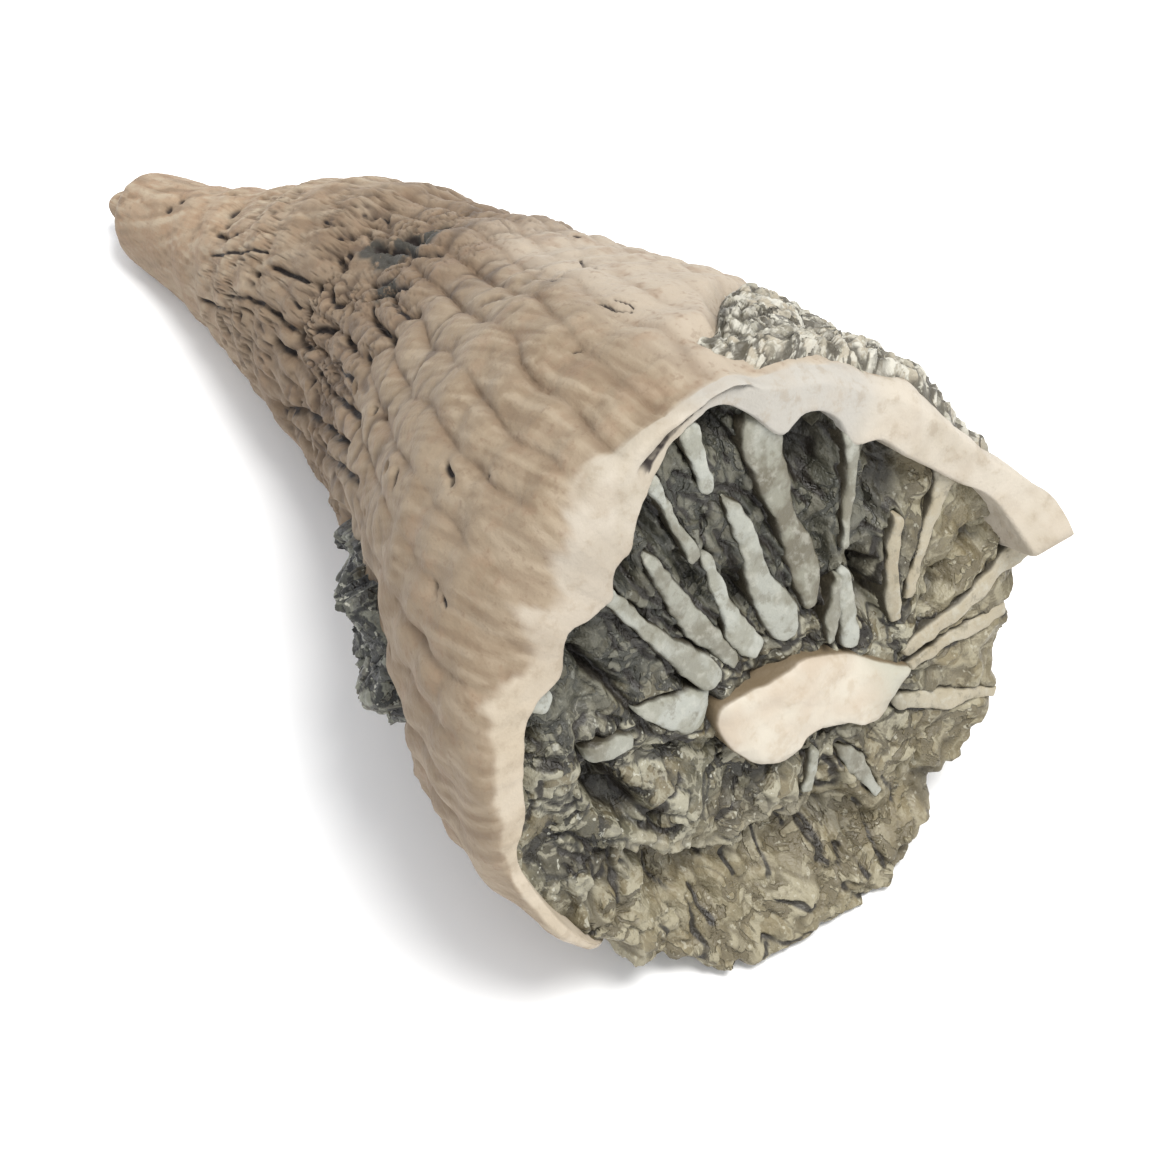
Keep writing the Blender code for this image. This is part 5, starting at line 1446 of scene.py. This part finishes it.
def sediment_base(name, light, mid, dark, tan, ink_and_shade):
    """Mudstone of grains in several greys, with thin dark lines, painted shade in the crevices, pale veins
    and bright specks painted as glints.
    """
    n = Nodes(name, 0.6)
    fine = n.noise(0.8, 4.0, 0.65, 0.2)
    lines = n.math("MULTIPLY", n.line(1.6, 0.055, 0.5), n.steer(n.noise(2.6, 1.0), 0.4, 0.55))
    base = n.tint(
        n.mix(n.steer(n.noise(1.6, 4.0, 0.6, 0.1), 0.38, 0.6), colour(*mid), colour(*tan)),
        (n.steer(n.attribute("pick"), 0.55, 0.75), 1.0, light),
        (n.steer(n.attribute("lump"), 0.3, 0.12), 0.6, dark),
        (n.steer(fine, 0.52, 0.68), 0.7, light),
        (n.steer(fine, 0.46, 0.32), 0.7, dark),
        (n.line(1.4, 0.035, 0.4), 0.6, light),
        # painted shade in the gaps between the grains
        (n.steer(n.attribute("crevice_shade"), 0.5, 0.95), 0.9, ink_and_shade),
        (lines, 0.9, ink_and_shade),
        # painted glints: bright specks
        (n.steer(n.noise(0.33, 2.0, 0.5), 0.65, 0.7), 0.6, GLINT_SPECKS),
    )
    return n, base, n.math("ADD", n.math("MULTIPLY", fine, 0.75), n.math("MULTIPLY", lines, -0.3))


def infill_material():
    n, base, height = sediment_base("calyx_mudstone", *INFILL_TONES)
    base = n.tint(
        base,
        (n.attribute("warm"), 0.4, (154, 140, 106)),
        (n.attribute("cool"), 0.7, (61, 62, 53)),
        (n.attribute("ledge"), 0.4, (186, 180, 158)),
        # painted shade in the hollows
        (n.steer(n.attribute("hollow"), 0.3, 0.95), 0.85, (34, 31, 25)),
        # painted shade in the grooves and the seam along the septa
        (n.steer(n.attribute("groove"), 0.25, 0.75), 0.92, (34, 28, 20)),
    )
    return n.finish(base, n.steer(height, 0.3, 0.7, 0.5, 0.8), height, 0.4, 0.8)


def crust_material(name, tones, smoothest):
    n, base, height = sediment_base(name, *tones)
    return n.finish(base, n.steer(height, 0.3, 0.7, smoothest, 0.8), height, 0.3, 0.8)


FLOOR_WHITE, FLOOR_CLOUD = (0.95, 0.95, 0.95, 1.0), (0.93, 0.93, 0.93, 1.0)


def floor_material():
    n = Nodes("pale_floor", 0.9)
    n.shader.inputs["Specular IOR Level"].default_value = 0.1
    base = n.mix(n.steer(n.noise(60.0, 2.0), 0.3, 0.7), FLOOR_WHITE, FLOOR_CLOUD)
    n.link(base, n.shader.inputs["Base Color"])
    return n.material


# ---------------------------------------------------------------- stage

CLIP_START, CLIP_END = 0.01, 10.0      # metres
FLOOR_SIZE = 3000.0
FLOOR_DROP = 0.02                      # how far the floor lies below the fossil's flat
SKY_COLOUR = (0.95, 0.97, 1.0, 1.0)
SKY_STRENGTH = 1.06
SOFTBOX_TOWARD = (0.3, 0.15, 1.0)
SOFTBOX_DISTANCE = 900.0
SOFTBOX_SIZE = 500.0
SOFTBOX_POWER = 9.5
SOFTBOX_COLOUR = (1.0, 0.985, 0.96)


def make_camera():
    """The photograph's camera."""
    back = Vector(camera_axes()[2])
    data = bpy.data.cameras.new("camera")
    data.sensor_width = SENSOR
    data.lens = FOCAL_PIXELS / IMAGE_PIXELS * SENSOR
    data.clip_start, data.clip_end = CLIP_START, CLIP_END
    camera = bpy.data.objects.new("camera", data)
    camera.location = (Vector(camera_place()) - Vector((ORIGIN_X, ORIGIN_Y, 0.0))) * MM
    camera.rotation_euler = back.to_track_quat("Z", "Y").to_euler()
    bpy.context.scene.collection.objects.link(camera)
    bpy.context.scene.camera = camera


def make_softbox():
    """One large soft light above the fossil."""
    data = bpy.data.lights.new("softbox", "AREA")
    data.shape = "DISK"
    data.size = SOFTBOX_SIZE * MM
    data.energy = SOFTBOX_POWER
    data.color = SOFTBOX_COLOUR
    light = bpy.data.objects.new("softbox", data)
    toward = Vector(SOFTBOX_TOWARD).normalized()
    light.location = toward * SOFTBOX_DISTANCE * MM
    light.rotation_euler = toward.to_track_quat("Z", "Y").to_euler()
    bpy.context.scene.collection.objects.link(light)


def make_stage():
    """A pale floor under a bright, even sky."""
    bpy.ops.mesh.primitive_plane_add(size=FLOOR_SIZE * MM, location=(0.0, 0.0, -FLOOR_DROP * MM))
    floor = bpy.context.object
    floor.name = "floor"
    floor.data.materials.append(floor_material())
    world = bpy.data.worlds.new("studio")
    world.use_nodes = True
    background = world.node_tree.nodes["Background"]
    background.inputs["Color"].default_value = SKY_COLOUR
    background.inputs["Strength"].default_value = SKY_STRENGTH
    bpy.context.scene.world = world
    bpy.context.scene.view_settings.view_transform = "Standard"


# ---------------------------------------------------------------- the fossil

place_piece(make_wall(), wall_material(), "coral")
blades = septum_material()
for septum_name, (paleness, *septum_stations) in SEPTA.items():
    place_piece(make_septum(septum_name, paleness, septum_stations), blades, "coral")
place_piece(make_boss(), boss_material(), "coral")
place_piece(make_matrix(), infill_material(), "matrix_infill")
pale_crust = crust_material("pale_mudstone_crust", PALE_CRUST_TONES, 0.5)
upper_crust = make_crust("upper_crust", UPPER_CRUST, 1.2, 0.0, 0.4, (330, 100), 3.0)
place_piece(upper_crust, pale_crust, "matrix_crust_upper")
# The lower crust's colours are darkened to paint the shade on the lower flank
shaded_crust = crust_material("shaded_mudstone_crust", SHADED_CRUST_TONES, 0.45)
lower_crust = make_crust("lower_crust", LOWER_CRUST, 0.1, 0.1, 1.8, (300, 90), 8.0)
place_piece(lower_crust, shaded_crust, "matrix_crust_lower")

make_stage()
make_softbox()
make_camera()
